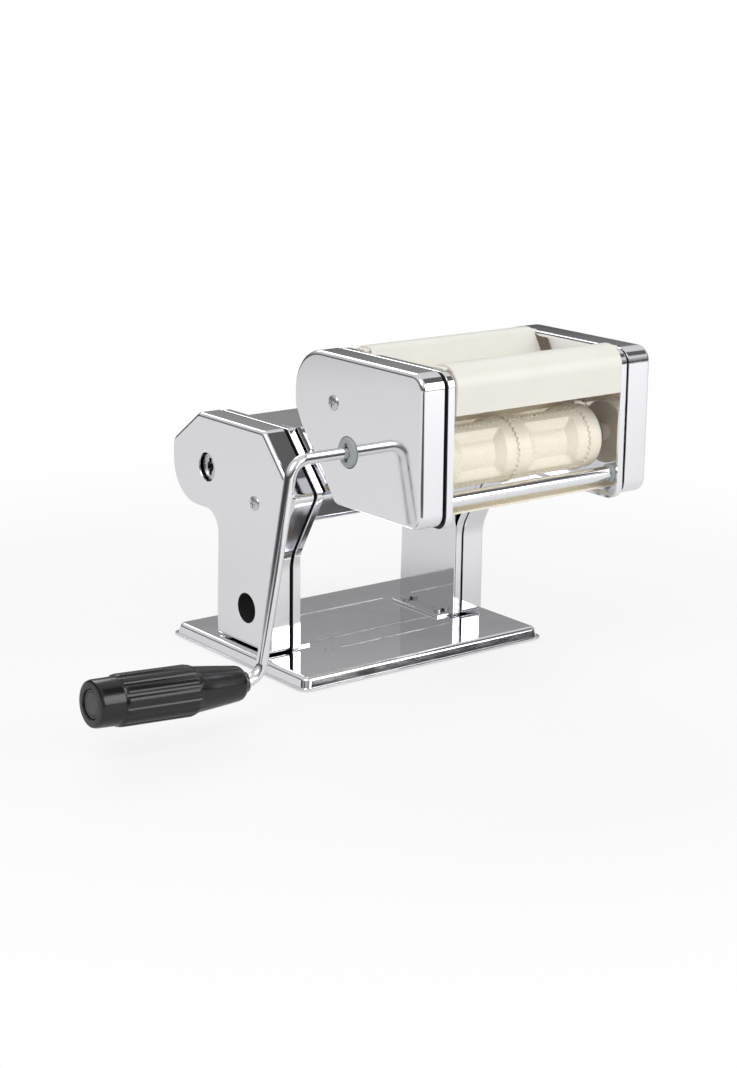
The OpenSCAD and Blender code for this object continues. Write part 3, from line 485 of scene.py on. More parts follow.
# %% Dressing a piece
def dressed(piece, material, body, slot, *stands_for):
    """Gives a finished piece its material and body, and hides the solids it stands for. The slot argument
    is not used.
    """
    piece.data.materials.clear()
    piece.data.materials.append(material)
    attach(piece, body)
    if stands_for:
        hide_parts(*stands_for)
    return piece


print("materials:", len(bpy.data.materials))

# %% [markdown]
# ## The base pan
# The base is pressed from one sheet: a small flange runs round the bottom, the wall rises from it and
# turns into the flat top over a soft edge. Pulling a rounded rectangle up in two steps and bevelling
# its last loop gives that profile, and Solidify turns the skin into sheet. The stiffening creases are
# low half-round bars laid on the top, which is simpler than denting the sheet and looks the same.

# %% Base pan
BASE_X, BASE_Y, BASE_CORNER, BASE_TOP = 100, 78, 7, 8.9
FLANGE_LOW, FLANGE_RISE, FLANGE_WIDE, WALL_RISE = 0.9, 1.3, 2.2, 6.7
WALL_LEAN = (0.984, 0.979, 1)
PRESSED = 1.0


def size_of(piece):
    """Length, depth and height in millimetres."""
    return [round(d / MM, 1) for d in piece.dimensions]


rectangle = [(x, y, BASE_CORNER) for x, y in oblong(-BASE_X, -BASE_Y, BASE_X, BASE_Y)]
pan = drawn("base_pan", [(x, y, FLANGE_LOW) for x, y in outline(rectangle)])
pulled(pan, (0, 0, FLANGE_RISE))
pick_faces(pan, lambda c, n: n.z > 0.9)
bpy.ops.mesh.inset(thickness=FLANGE_WIDE * MM)
bpy.ops.mesh.extrude_region_move(TRANSFORM_OT_translate={"value": (0, 0, WALL_RISE * MM)})
bpy.ops.transform.resize(value=WALL_LEAN)
bpy.ops.mesh.region_to_loop()
bpy.ops.mesh.bevel(offset=2.3 * MM, segments=6, affect="EDGES")
done()
pick_faces(pan, lambda c, n: n.z < -0.9 and c.z < 1.0)
bpy.ops.mesh.delete(type="FACE")
done()
apply_modifier(pan, "SOLIDIFY", thickness=PRESSED * MM, offset=-1, use_even_offset=True)
smooth(pan, bevel=0.25, segments=2)
dressed(pan, sheet_chrome, "frame", "chrome_sheet", "base_plate")
print("base:", size_of(pan))

# %% Base creases
CREASE_HALF, CREASE_HIGH, CREASE_X = 1.25, 0.42, 51.5
bead_angles = [math.pi * k / 8 for k in range(9)]
bead = [(CREASE_HALF * math.cos(a), CREASE_HIGH * math.sin(a)) for a in bead_angles]
for i, y in enumerate((-34, -14, 40)):
    section = [(y + u, BASE_TOP + v) for u, v in bead]
    crease = bar(f"base_crease_{i + 1}", section, across(-CREASE_X), 2 * CREASE_X)
    smooth(crease, angle=60)
    dressed(crease, sheet_chrome, "frame", "chrome_sheet")
print("crease:", size_of(crease))

# %% [markdown]
# ## Pressed covers
# A cover is a shallow tray: its face is drawn, pulled to the depth of the tray, and the loop round the
# face is bevelled into the rounded edge that catches the light. The open side is deleted before the
# sheet gets its thickness, because a closed box would become two shells. The plates inside are folded
# in the same way, so one helper makes both.


# %% Folding a tray
def folded_tray(name, ring, face, rim, bend, steps, thick):
    """A tray of sheet with its face at x = face and its open edge at x = rim."""
    piece = drawn(name, [(face, y, z) for y, z in ring])
    pulled(piece, (rim - face, 0, 0))
    pick_faces(piece, lambda c, n: abs(c.x - face) < 0.01)
    bpy.ops.mesh.region_to_loop()
    bpy.ops.mesh.bevel(offset=bend * MM, segments=steps, affect="EDGES")
    done()
    pick_faces(piece, lambda c, n: abs(c.x - rim) < 0.01 and abs(n.x) > 0.9)
    bpy.ops.mesh.delete(type="FACE")
    done()
    apply_modifier(piece, "SOLIDIFY", thickness=thick * MM, offset=-1, use_even_offset=True)
    outward(piece)
    return piece


COVER_FACE, COVER_BEND = 89.8, 2.8
COVER_RIM = {-1: 73.9, 1: 71.5}


def pressed_cover(name, corners, side):
    """Cover on the side -1 (left) or 1 (right)."""
    face, rim = COVER_FACE * side, COVER_RIM[side] * side
    return folded_tray(name, outline(corners), face, rim, COVER_BEND, 8, PRESSED)


print("covers are", [round(COVER_FACE - rim, 1) for rim in COVER_RIM.values()], "mm deep")

# %% [markdown]
# ## Holes
# Shafts, the clamp and the knob pass through round holes in the sheets. A hole could be part of the
# drawn outline. Taking a plain cylinder out with a Boolean works on a folded sheet too, just as a drill
# goes through the finished pressing, so every hole is one line.


# %% Drilling
def cut(piece, cutter):
    """Takes the cutter's shape out of the piece and throws the cutter away."""
    apply_modifier(piece, "BOOLEAN", operation="DIFFERENCE", solver="EXACT", object=cutter)
    bpy.data.objects.remove(cutter)


def drill(piece, x0, x1, y, z, r, sides=64):
    """A round hole along X."""
    bpy.ops.object.select_all(action="DESELECT")
    bpy.ops.mesh.primitive_cylinder_add(
        vertices=sides,
        radius=r * MM,
        depth=abs(x1 - x0) * MM,
        location=Vector(((x0 + x1) / 2, y, z)) * MM,
        rotation=(0, math.pi / 2, 0),
    )
    cut(piece, bpy.context.object)


DRIVE_Y, DRIVE_Z = 47.2, 121.3
KNOB_Y = 71.4393
HUB_Y, HUB_Z = -108.5, 159.7
FRONT_Y = -150.5
CLAMP_Y, CLAMP_Z, CLAMP_R = 1.3, 35.5, 10.15
print("the unit's two rollers turn", HUB_Y - FRONT_Y, "mm apart")

# %% The four covers
LEFT_CUT, RIGHT_CUT = (-95, -86), (86, 95)
SOCKET_HOLE_R, SPINDLE_HOLE_R, HUB_HOLE_R = 9.75, 7.0, 9.9
left_cover = pressed_cover("left_cover", body_corners(COVER_FOOT), -1)
drill(left_cover, *LEFT_CUT, DRIVE_Y, DRIVE_Z, SOCKET_HOLE_R)
drill(left_cover, *LEFT_CUT, CLAMP_Y, CLAMP_Z, CLAMP_R)
right_cover = pressed_cover("right_cover", body_corners(COVER_FOOT), 1)
drill(right_cover, *RIGHT_CUT, KNOB_Y, DRIVE_Z, SPINDLE_HOLE_R)
unit_left = pressed_cover("unit_left_cover", unit_corners(UNIT_LOW), -1)
drill(unit_left, *LEFT_CUT, HUB_Y, HUB_Z, HUB_HOLE_R)
unit_right = pressed_cover("unit_right_cover", unit_corners(UNIT_LOW), 1)
print("covers:", len(left_cover.data.polygons), "faces in the left one")

# %% [markdown]
# ## Painted shade inside the covers
# The inside of a cover is given a near-black material that paints the shade in its hollow and in the
# gap round the plate. The inner skin could be a second sheet. It is the same mesh with a second
# material instead, and its faces are told by two distances: they lie behind the outer face and further
# in than the sheet is thick.

# %% Painted shade in the covers
COVER_LID, COVER_SKIN = 88.9, 0.93


def depth_inside(y, z, ring):
    """How far a point lies from an outline, in millimetres."""
    point, best = Vector((y, z)), 1e9
    for i in range(len(ring)):
        a, b = Vector(ring[i - 1]), Vector(ring[i])
        t = max(0, min(1, (point - a).dot(b - a) / max((b - a).length_squared, 1e-9)))
        best = min(best, (point - a - t * (b - a)).length)
    return best


def darken(piece, test):
    """Gives the faces whose centre passes the test the near-black material that paints shade."""
    piece.data.materials.append(painted_shade_black)
    for face in piece.data.polygons:
        if test(face.center / MM):
            face.material_index = 1


for piece, body, corners, solid in (
    (left_cover, "frame", body_corners(COVER_FOOT), "left_side_cover"),
    (right_cover, "frame", body_corners(COVER_FOOT), "right_side_cover"),
    (unit_left, "ravioli_unit", unit_corners(UNIT_LOW), "ravioli_left_cover"),
    (unit_right, "ravioli_unit", unit_corners(UNIT_LOW), "ravioli_right_cover"),
):
    smooth(piece)
    dressed(piece, sheet_chrome, body, "chrome_sheet", solid)
    ring = outline(corners)
    # The faces inside the cover get the near-black painted shade.
    darken(piece, lambda c: abs(c.x) < COVER_LID and depth_inside(c.y, c.z, ring) > COVER_SKIN)
print("dull faces in the last cover:", sum(face.material_index for face in piece.data.polygons))

# %% [markdown]
# ## Turning
# Rollers, bushes, the hub and the grip are round and come from a lathe. Here a profile of radii and
# distances is drawn beside its axis and Spin turns it once round. Only its edges are spun, because its
# own face would stay behind inside the solid. The first turned piece is the sleeve in the clamp hole.


# %% Turning a profile
def turned(name, profile, start, along, sides=72):
    """Turns a closed profile of (radius, distance) points round the line from start along a direction."""
    start, along = Vector(start), Vector(along).normalized()
    side = along.orthogonal().normalized()
    piece = drawn(name, [start + along * d + side * r for r, d in profile])
    edit(piece, "VERT")
    bpy.ops.mesh.select_all(action="SELECT")
    bpy.ops.mesh.delete(type="ONLY_FACE")
    bpy.ops.mesh.select_all(action="SELECT")
    bpy.ops.mesh.spin(steps=sides, angle=2 * math.pi, center=start * MM, axis=along)
    done()
    outward(piece)
    return piece


SLEEVE_R, SLEEVE_LONG, SLEEVE_X = 10.9, 19.2, -88.75
sleeve_profile = oblong(CLAMP_R, 0, SLEEVE_R, SLEEVE_LONG)
sleeve = turned("clamp_sleeve", sleeve_profile, (SLEEVE_X, CLAMP_Y, CLAMP_Z), (1, 0, 0))
smooth(sleeve)
# The sleeve lines the clamp hole with near-black painted shade.
dressed(sleeve, painted_shade_black, "frame", "chrome_sheet")
print("sleeve:", size_of(sleeve))

# %% [markdown]
# ## Flanged plates
# Inside each cover stands a plate whose rim is turned inwards. It holds the rollers, and its rim shows
# as a second bright band behind a dark gap. It is folded as the covers are, from a slightly smaller
# outline, with the windows and holes that the shafts need. A strip at its foot is screwed to the base.


# %% Milling and folding a plate
def mill(piece, low, high):
    """A square-sided hole between two corners."""
    bpy.ops.object.select_all(action="DESELECT")
    low, high = Vector(low), Vector(high)
    bpy.ops.mesh.primitive_cube_add(size=1, location=(low + high) / 2 * MM)
    cutter = bpy.context.object
    cutter.scale = (high - low) * MM
    bpy.ops.object.transform_apply(location=True, rotation=True, scale=True)
    cut(piece, cutter)


PLATE_FACE, PLATE_RIM, PLATE_BEND, PLATE_SHEET, PLATE_INSET = 71.0, 65.7, 1.3, 1.5, 0.6


def flanged_plate(name, corners, side):
    """Plate on the side -1 (left) or 1 (right), inside the cover of that side."""
    ring = outline(corners, -PLATE_INSET)
    return folded_tray(name, ring, PLATE_FACE * side, PLATE_RIM * side, PLATE_BEND, 5, PLATE_SHEET)


print("a plate's rim is", round(PLATE_FACE - PLATE_RIM, 1), "mm wide")

# %% Plates of the machine and the unit
BEARING_HOLE_R, UNIT_HOLE_R, UNIT_PLATE_LOW = 9.0, 8.5, 122
BLOCK_WINDOW = (60.1, 112, 82.8, 130.6)
NUT_WINDOW = (73.1, 103, 80.8, 108.6)
# The last of these marks where a plate's outer faces begin to get painted shade.
PLATE_CUT, FOOT_X, PAINTED_SHADE_FROM = (67, 75), (53.8, 65.5), {-1: 70.35, 1: 70.9}
FOOT_STRIP = oblong(-19.8, BASE_TOP, 31.4, BASE_TOP + PLATE_SHEET)


def body_plate(word, side, low, high):
    """The machine's plate, bored for the driven roller and open for the sliding bearing block."""
    plate = flanged_plate(f"{word}_plate", body_corners(PLATE_FOOT), side)
    drill(plate, low, high, DRIVE_Y, DRIVE_Z, BEARING_HOLE_R)
    for y0, z0, y1, z1 in (BLOCK_WINDOW, NUT_WINDOW):
        mill(plate, (low, y0, z0), (high, y1, z1))
    if side < 0:
        drill(plate, low, high, CLAMP_Y, CLAMP_Z, CLAMP_R)
    return plate


for side, word in ((-1, "left"), (1, "right")):
    low, high = sorted(x * side for x in PLATE_CUT)
    plate = body_plate(word, side, low, high)
    x0, x1 = sorted(x * side for x in FOOT_X)
    foot = bar(f"{word}_foot", FOOT_STRIP, across(x0), x1 - x0)
    smooth(foot, bevel=0.3)
    smooth(plate)
    dressed(plate, sheet_chrome, "frame", "chrome_sheet", f"{word}_frame_plate")
    # The plate's outer face, seen only through the gap under the cover, gets painted shade.
    darken(plate, lambda c: abs(c.x) > PAINTED_SHADE_FROM[side])
    dressed(foot, sheet_chrome, "frame", "chrome_sheet")

    unit_plate = flanged_plate(f"unit_{word}_plate", unit_corners(UNIT_PLATE_LOW), side)
    for y in (HUB_Y, FRONT_Y):
        drill(unit_plate, low, high, y, HUB_Z, UNIT_HOLE_R)
    smooth(unit_plate)
    dressed(unit_plate, sheet_chrome, "ravioli_unit", "chrome_sheet", f"ravioli_{word}_plate")
    # The unit plate's outer face gets the same painted shade in the gap.
    darken(unit_plate, lambda c: abs(c.x) > PAINTED_SHADE_FROM[side])
print("plates:", size_of(plate), size_of(unit_plate))

# %% [markdown]
# ## Bent inner sheets
# Three sheets close the body between the plates: the top, the sloping front with its chin, and the
# arch that stands between the legs. Each could be a box with bevelled edges. As one path with rounded
# bends, given its thickness on one side and pulled across the machine, it keeps an even thickness.


# %% Top sheet
def sheet(path, thickness, steps=8):
    """Section of a bent sheet that lies on the left of a path of (a, b, radius) corners."""
    line = [Vector(path[0][:2])]
    for i in range(1, len(path) - 1):
        line += arc_corner(path[i - 1][:2], path[i][:2], path[i + 1][:2], path[i][2], steps)
    line.append(Vector(path[-1][:2]))
    other = []
    for i, p in enumerate(line):
        d = (line[min(i + 1, len(line) - 1)] - line[max(i - 1, 0)]).normalized()
        other.append(p + thickness * Vector((-d.y, d.x)))
    return [tuple(p) for p in line + other[::-1]]


INNER_SHEET = 1.2
TOP_UNDER, TOP_FRONT, TOP_BACK, TOP_HALF = 154.4, slope_top.x + 4, 42.2, 69.4
top_path = [(TOP_BACK, TOP_UNDER - 7, 0), (TOP_BACK, TOP_UNDER, 3), (TOP_FRONT, TOP_UNDER, 0)]
top_sheet = bar("top_sheet", sheet(top_path, INNER_SHEET), across(-TOP_HALF), 2 * TOP_HALF)
print("top sheet:", size_of(top_sheet))

# %% Front sheet
FRONT_TOP, FRONT_HALF, CHIN_Z, CHIN_BACK = 155.9, 65.6, 98, 28.4
top_s = (FRONT_TOP + PLATE_INSET * ALONG.x - NOSE.y) / ALONG.y
bend, chin = on_slope(top_s, -PLATE_INSET), on_slope(0.2, -PLATE_INSET)
front_path = [
    (TOP_FRONT + 10, FRONT_TOP, 0),
    (bend.x, bend.y, 4),
    (chin.x, chin.y, 5),
    (chin.x + 12.5, CHIN_Z, 10),
    (CHIN_BACK, CHIN_Z, 0),
]
front_sheet = bar(
    "front_sheet", sheet(front_path, INNER_SHEET), across(-FRONT_HALF), 2 * FRONT_HALF
)
print("front sheet:", size_of(front_sheet))

# %% Arch between the legs
ARCH_BACK, ARCH_DEEP, ARCH_BEND, ARCH_HOLE_R = 34.4, 58.2, 12, 10.5
ARCH_FOOT = BASE_TOP + PLATE_SHEET
arch_path = [
    (-FRONT_HALF, ARCH_FOOT, 0),
    (-FRONT_HALF, CHIN_Z, ARCH_BEND),
    (FRONT_HALF, CHIN_Z, ARCH_BEND),
    (FRONT_HALF, ARCH_FOOT, 0),
]
arch = bar(
    "leg_arch",
    sheet(arch_path, -INNER_SHEET, 12),
    axes((0, ARCH_BACK, 0), (1, 0, 0), (0, 0, 1)),
    ARCH_DEEP,
)
drill(arch, -70, -60, CLAMP_Y, CLAMP_Z, ARCH_HOLE_R)
for piece, solid in ((top_sheet, "top_cover"), (front_sheet, "front_panel"), (arch, "portal_arch")):
    smooth(piece, bevel=0.2, segments=2)
    dressed(piece, sheet_chrome, "frame", "chrome_sheet", solid)
print("arch:", size_of(arch))

# %% [markdown]
# ## Rails and hook brackets
# The ravioli unit slides onto two rails folded like a letter C, screwed to the slope. Its brackets
# have a head that runs inside the rail, a thin web, and a foot under the unit's own sloping rim. Both
# are drawn as sections square to the slope and pulled up along it, so the head fits its rail by rule.

# %% Rails and brackets
RAIL_X, RAIL_LONG, STOP_LONG, HOOK_FROM, HOOK_LONG = 62, 47.78, 6.2, 6.5, 25
RAIL_SECTION = [
    (-6, 0), (6, 0), (6, 6), (3, 6), (3, 4.5), (4.5, 4.5),
    (4.5, 1.5), (-4.5, 1.5), (-4.5, 4.5), (-3, 4.5), (-3, 6), (-6, 6),
]
HOOK_SECTION = [
    (-4.2, 1.8), (4.2, 1.8), (4.2, 4.2), (1.3, 4.2), (1.3, 37.2), (6.5, 37.2),
    (6.5, 39.2), (-6.5, 39.2), (-6.5, 37.2), (-1.3, 37.2), (-1.3, 4.2), (-4.2, 4.2),
]


def slope_place(x, s):
    """Places a section of (x, out of the slope) so that it is pulled up the slope from s."""
    base = on_slope(s, -PLATE_INSET)
    return axes((x, base.x, base.y), (-1, 0, 0), (0, OUT.x, OUT.y))


for x, word in ((-RAIL_X, "left"), (RAIL_X, "right")):
    rail = bar(f"{word}_rail", RAIL_SECTION, slope_place(x, 0), RAIL_LONG)
    stop = bar(f"{word}_rail_stop", oblong(-4.6, 1.4, 4.6, 6), slope_place(x, 0), STOP_LONG)
    smooth(rail, bevel=0.25)
    smooth(stop, bevel=0.25)
    dressed(rail, sheet_chrome, "frame", "chrome_sheet", f"guide_rail_{word}")
    dressed(stop, sheet_chrome, "frame", "chrome_sheet")
    bracket = bar(f"{word}_bracket", HOOK_SECTION, slope_place(x, HOOK_FROM), HOOK_LONG)
    smooth(bracket, bevel=0.25)
    dressed(bracket, sheet_chrome, "ravioli_unit", "chrome_sheet", f"hook_bracket_{word}")
rail_way = slope_place(0, 0).to_3x3() @ Vector((0, 0, 1))
print("the rails run along", tuple(round(c, 3) for c in rail_way))

# %% [markdown]
# ## Smooth rollers
# The two steel rollers are plain turned bars with thinner journals. The left end of the driven one is
# the crank socket: a bore with a slot across it for the crank's pin, inside a collar that shows in the
# cover's hole. A cylinder with thinner ones at its ends would do, but the profile also gives the small
# chamfers that catch the light.

# %% Driven roller
ROLLER_R, JOURNAL_R, COLLAR_R, ROD_BORE_R = 11.5, 6, 9.3, 3.65
CHAMFER, PIN_SLOT_HALF = 0.4, 5.8
drive_profile = [
    (ROD_BORE_R, 0), (COLLAR_R - CHAMFER, 0), (COLLAR_R, CHAMFER), (COLLAR_R, 2.6),
    (JOURNAL_R, 2.6), (JOURNAL_R, 18.1), (ROLLER_R - CHAMFER, 18.1), (ROLLER_R, 18.5),
    (ROLLER_R, 155.5), (ROLLER_R - CHAMFER, 155.9), (JOURNAL_R, 155.9), (JOURNAL_R, 161.6),
    (JOURNAL_R - CHAMFER, 162), (0, 162), (0, 25), (ROD_BORE_R, 25),
]
drive = turned("driven_roller", drive_profile, (-87, DRIVE_Y, DRIVE_Z), (1, 0, 0))
slot_low = (-89, DRIVE_Y - 1.5, DRIVE_Z - PIN_SLOT_HALF)
slot_high = (-80, DRIVE_Y + 1.5, DRIVE_Z + PIN_SLOT_HALF)
mill(drive, slot_low, slot_high)
smooth(drive)
dressed(drive, steel, "drive_roller", "steel", "drive_roller")
print("driven roller:", size_of(drive))

# %% Pressing roller
PRESS_Y = 72.4785
press_profile = [
    (0, 0), (JOURNAL_R - CHAMFER, 0), (JOURNAL_R, CHAMFER), (JOURNAL_R, 14.1),
    (ROLLER_R - CHAMFER, 14.1), (ROLLER_R, 14.5), (ROLLER_R, 151.5), (ROLLER_R - CHAMFER, 151.9),
    (JOURNAL_R, 151.9), (JOURNAL_R, 157.2), (JOURNAL_R - CHAMFER, 157.6), (0, 157.6),
]
pressing = turned("pressing_roller", press_profile, (-83, PRESS_Y, DRIVE_Z), (1, 0, 0))
smooth(pressing)
dressed(pressing, steel, "adjustable_roller", "steel", "adjustable_roller")
print("gap between the rollers at rest:", round(PRESS_Y - DRIVE_Y - 2 * ROLLER_R, 2), "mm")

# %% [markdown]
# ## Ravioli rollers
# Each ivory roller has pockets sunk in its barrel, a flat land round every pocket, and thin pinked
# blades on the lands that cut the dough with the zigzag edge that ravioli have. The pockets could be
# cut with shaped cutters. Turning the barrel with many stations along it and pressing its surface down
# by a simple rule is quicker, and it gives the soft hollow walls of a moulding.

# %% Barrel with pockets
RIDGE_R, LAND_R, FLOOR_R = 20.8, 19.9, 16.3
RING_MID, RING_PITCH = -7.5, 57.5
BARREL = (-67.0, 60.0)
RINGS = [RING_MID + k * RING_PITCH for k in (-1, 0, 1)]
POCKETS_ROUND, SIDES = 3, 144
RING_LAND, RING_EASE, RIDGE_LAND, RIDGE_EASE = 9.5, 6.5, 4.5, 5.5


def sunk(distance, start, slope):
    """Share of the full pocket depth at a distance from the nearest blade."""
    return min(1.0, max(0.0, (distance - start) / slope))


def press_pockets(piece, y, phase):
    """Sinks the barrel between its rings and cross ridges."""
    apart = 360 / POCKETS_ROUND
    for vertex in piece.data.vertices:
        place = vertex.co / MM
        across_y, up = place.y - y, place.z - HUB_Z
        reach = math.hypot(across_y, up)
        if reach < LAND_R - 0.2 or not BARREL[0] + 1 < place.x < BARREL[1] - 1:
            continue
        turn = math.degrees(math.atan2(-across_y, up)) - phase
        off_ridge = min(abs((turn - apart * k + 180) % 360 - 180) for k in range(POCKETS_ROUND))
        along_x = min(abs(place.x - x) for x in RINGS) if place.x < RINGS[2] else 0
        from_ridge = math.radians(off_ridge) * LAND_R
        depth = min(sunk(along_x, RING_LAND, RING_EASE), sunk(from_ridge, RIDGE_LAND, RIDGE_EASE))
        share = (LAND_R - (LAND_R - FLOOR_R) * depth) / reach
        vertex.co = Vector((place.x, y + across_y * share, HUB_Z + up * share)) * MM


STATION_STEPS = (3, 9.5, 11.1, 12.7, 14.4, 16, 22, 28)
offsets = [side * step for side in (-1, 1) for step in STATION_STEPS]
stations = {x + off for x in RINGS for off in offsets if BARREL[0] + 1 < x + off < BARREL[1] - 1}
stations = sorted(stations | {BARREL[0] + 0.6, BARREL[1] - 0.6})
print("barrel stations:", len(stations))

# %% [markdown]
# ## Pinked blades
# Pinked means cut in small zigzags, as with a cloth shear. A blade ring is turned first, and each
# point of its rim is then pushed left or right by a triangle wave of its angle. A cross blade is
# pulled along the roller in as many steps as its zigzag needs and gets the same wave along its length.
# Modelling each tooth would give the same edge with far more work.


# %% Blade rings
ZIGZAG, RING_WAVES = 0.8, 36


def blade(top):
    """Section of a blade as (distance from its middle, radius), from root to edge and down again."""
    half = [(-1.1, LAND_R - 1.5), (-1.0, LAND_R - 0.05), (-0.75, top - 0.1), (-0.5, top)]
    return half + [(-u, r) for u, r in half[::-1]]


def zigzag(angle):
    """Triangle wave between -1 and 1."""
    return 2 / math.pi * math.asin(max(-1, min(1, math.sin(angle))))


def pinked_ring(name, x, y):
    """Blade ring whose cutting edge zigzags along the roller's axis."""
    profile = [(r, x + u) for u, r in blade(RIDGE_R)]
    piece = turned(name, profile, (0, y, HUB_Z), (1, 0, 0), sides=SIDES)
    for vertex in piece.data.vertices:
        place = vertex.co / MM
        angle = math.atan2(place.z - HUB_Z, place.y - y)
        vertex.co.x += ZIGZAG * MM * zigzag(angle * RING_WAVES)
    return piece


print("ring teeth are", round(2 * math.pi * RIDGE_R / RING_WAVES, 2), "mm apart")

# %% Cross blades
RIDGE_WAVES = 33


def pinked_ridge(name, y, turn):
    """Cross blade along the roller with the same zigzag, turned to its place round the axis."""
    x0, x1 = RINGS[0], RINGS[2]
    step = (x1 - x0) / RIDGE_WAVES / 4
    piece = drawn(name, [(x0, u, v) for u, v in blade(RIDGE_R - 0.1)])
    edit(piece)
    bpy.ops.mesh.select_all(action="SELECT")
    for _ in range(RIDGE_WAVES * 4):
        bpy.ops.mesh.extrude_region_move(TRANSFORM_OT_translate={"value": (step * MM, 0, 0)})
    done()
    outward(piece)
    spin = Matrix.Rotation(math.radians(turn), 3, "X")
    for vertex in piece.data.vertices:
        place = vertex.co / MM
        place.y += ZIGZAG * zigzag((place.x - x0) / step * math.pi / 2)
        vertex.co = (spin @ place + Vector((0, y, HUB_Z))) * MM
    return piece


print("ridge teeth are", round((RINGS[2] - RINGS[0]) / RIDGE_WAVES, 2), "mm apart")

# %% [markdown]
# ## Putting the rollers together
# A real roller is one moulding, so barrel, journals, rings and cross blades are joined into one mesh.
# A Boolean union would weld them; joining leaves each shell closed and sunk a little in the barrel,
# which looks the same. The left end of the rear roller is open for the crank, and the front roller is
# turned so that its blades meet those of the rear one.


# %% Joining parts of a roller
def joined(first, *others):
    """Makes one piece of several."""
    only(first)
    for other in others:
        other.select_set(True)
    bpy.ops.object.join()
    return first


def pocket_roller(name, y, phase, left_end, right_end):
    """Barrel with its journals, rings and ridges, as one piece."""
    barrel = [(LAND_R, x) for x in stations]
    barrel = [(LAND_R - 0.6, BARREL[0])] + barrel + [(LAND_R - 0.6, BARREL[1])]
    core = turned(name, left_end + barrel + right_end, (0, y, HUB_Z), (1, 0, 0), sides=SIDES)
    press_pockets(core, y, phase)
    parts = [pinked_ring(f"{name}_ring_{i}", x, y) for i, x in enumerate(RINGS)]
    for i in range(POCKETS_ROUND):
        parts.append(pinked_ridge(f"{name}_ridge_{i}", y, phase + 360 / POCKETS_ROUND * i))
    roller = joined(core, *parts)
    smooth(roller, angle=22)
    return roller


print("pockets on a roller:", POCKETS_ROUND * (len(RINGS) - 1))

# %% Two rollers
UNIT_END, UNIT_FAR, BORE_END, MESH_TURN = -74.5, 83, -66.5, 22
journal_end = [(JOURNAL_R, BARREL[1]), (JOURNAL_R, UNIT_FAR - CHAMFER), (JOURNAL_R - CHAMFER, UNIT_FAR)]
rear_roller = pocket_roller(
    "rear_pocket_roller",
    HUB_Y,
    -MESH_TURN,
    [(ROD_BORE_R, UNIT_END), (JOURNAL_R, UNIT_END), (JOURNAL_R, BARREL[0])],
    journal_end + [(0, UNIT_FAR), (0, BORE_END), (ROD_BORE_R, BORE_END)],
)
front_roller = pocket_roller(
    "front_pocket_roller",
    FRONT_Y,
    MESH_TURN,
    [(0, UNIT_END), (JOURNAL_R, UNIT_END), (JOURNAL_R, BARREL[0])],
    journal_end + [(0, UNIT_FAR)],
)
dressed(rear_roller, ivory, "rear_ravioli_roller", "cream_plastic", "rear_ravioli_roller")
dressed(front_roller, ivory, "front_ravioli_roller", "cream_plastic", "front_ravioli_roller")
print("front roller faces:", len(front_roller.data.polygons))

# %% [markdown]
# ## Front bar and hub
# A polished bar runs along the unit's lower front edge between two grey spacers. The crank plugs into
# a nylon hub that stands a little proud of the cover, with a slot for the crank's pin. All are turned,
# and the slot is milled afterwards, in the order that a workshop would take.

# %% Front bar
BAR_Y, BAR_Z, BAR_R, BAR_HALF, SPACER_R, SPACER_LONG = -171.5, 138.7, 4.25, 69.5, 5.85, 5
bar_profile = oblong(0, -BAR_HALF, BAR_R, BAR_HALF)
front_bar = turned("front_bar", bar_profile, (0, BAR_Y, BAR_Z), (1, 0, 0))
smooth(front_bar)
dressed(front_bar, rod_chrome, "ravioli_unit", "chrome_sheet", "front_bar")
spacers = []
for i, side in enumerate((-1, 1)):
    a, b, ease = side * BAR_HALF, side * (BAR_HALF - SPACER_LONG), 0.45 * side
    rim = [(5.4, a), (SPACER_R, a - ease), (SPACER_R, b + ease), (5.4, b)]
    profile = [(BAR_R + 0.02, a)] + rim + [(BAR_R + 0.02, b)]
    spacers.append(turned(f"bar_spacer_{i}", profile, (0, BAR_Y, BAR_Z), (1, 0, 0)))
spacer_pair = joined(*spacers)
smooth(spacer_pair)
dressed(spacer_pair, nylon, "ravioli_unit", "grey_nylon", "bar_nuts")
print("bar:", size_of(front_bar), "spacers:", len(spacers))

# %% Crank hub
HUB_X = -91.5
hub_profile = [
    (ROD_BORE_R, 0.5), (4.2, 0), (7.6, 0), (8.6, 0.35), (9.2, 1.0), (9.5, 2.0), (9.5, 17),
    (ROD_BORE_R, 17),
]
hub = turned("crank_hub", hub_profile, (HUB_X, HUB_Y, HUB_Z), (1, 0, 0))
slot_low = (-93, HUB_Y - 1.4, HUB_Z - PIN_SLOT_HALF)
slot_high = (-84.5, HUB_Y + 1.4, HUB_Z + PIN_SLOT_HALF)
mill(hub, slot_low, slot_high)
smooth(hub, bevel=0.25)
dressed(hub, nylon, "rear_ravioli_roller", "grey_nylon", "crank_hub")
print("hub stands", round(-COVER_FACE - HUB_X, 1), "mm proud of the cover")

# %% [markdown]
# ## Cover screws
# One domed screw holds each cover. The head is a low turned dome, and its cross recess is two narrow
# slots milled over each other. The recess could be a picture on the dome, but it catches the light as
# a real hollow does only when it is cut.


# %% Screws
def screw(name, x, y, z, side):
    """Domed screw head on a cover, with a cross recess."""
    dome = [(0, 0), (4.8, 0), (4.8, 0.35), (4.3, 0.85), (3.4, 1.2), (2.0, 1.42), (0, 1.5)]
    piece = turned(name, dome, (x, y, z), (side, 0, 0), sides=48)
    for wide, tall in ((1.1, 5.4), (5.4, 1.1)):
        low = (x + side * 0.7 if side > 0 else x - 3, y - wide / 2, z - tall / 2)
        high = (x + 3 if side > 0 else x - 0.7, y + wide / 2, z + tall / 2)
        mill(piece, low, high)
    smooth(piece)
    return piece


def screw_pair(name, y, z):
    """The same screw on the left and the right cover."""
    return joined(*[screw(f"{name}_{s}", COVER_FACE * s, y, z, s) for s in (-1, 1)])


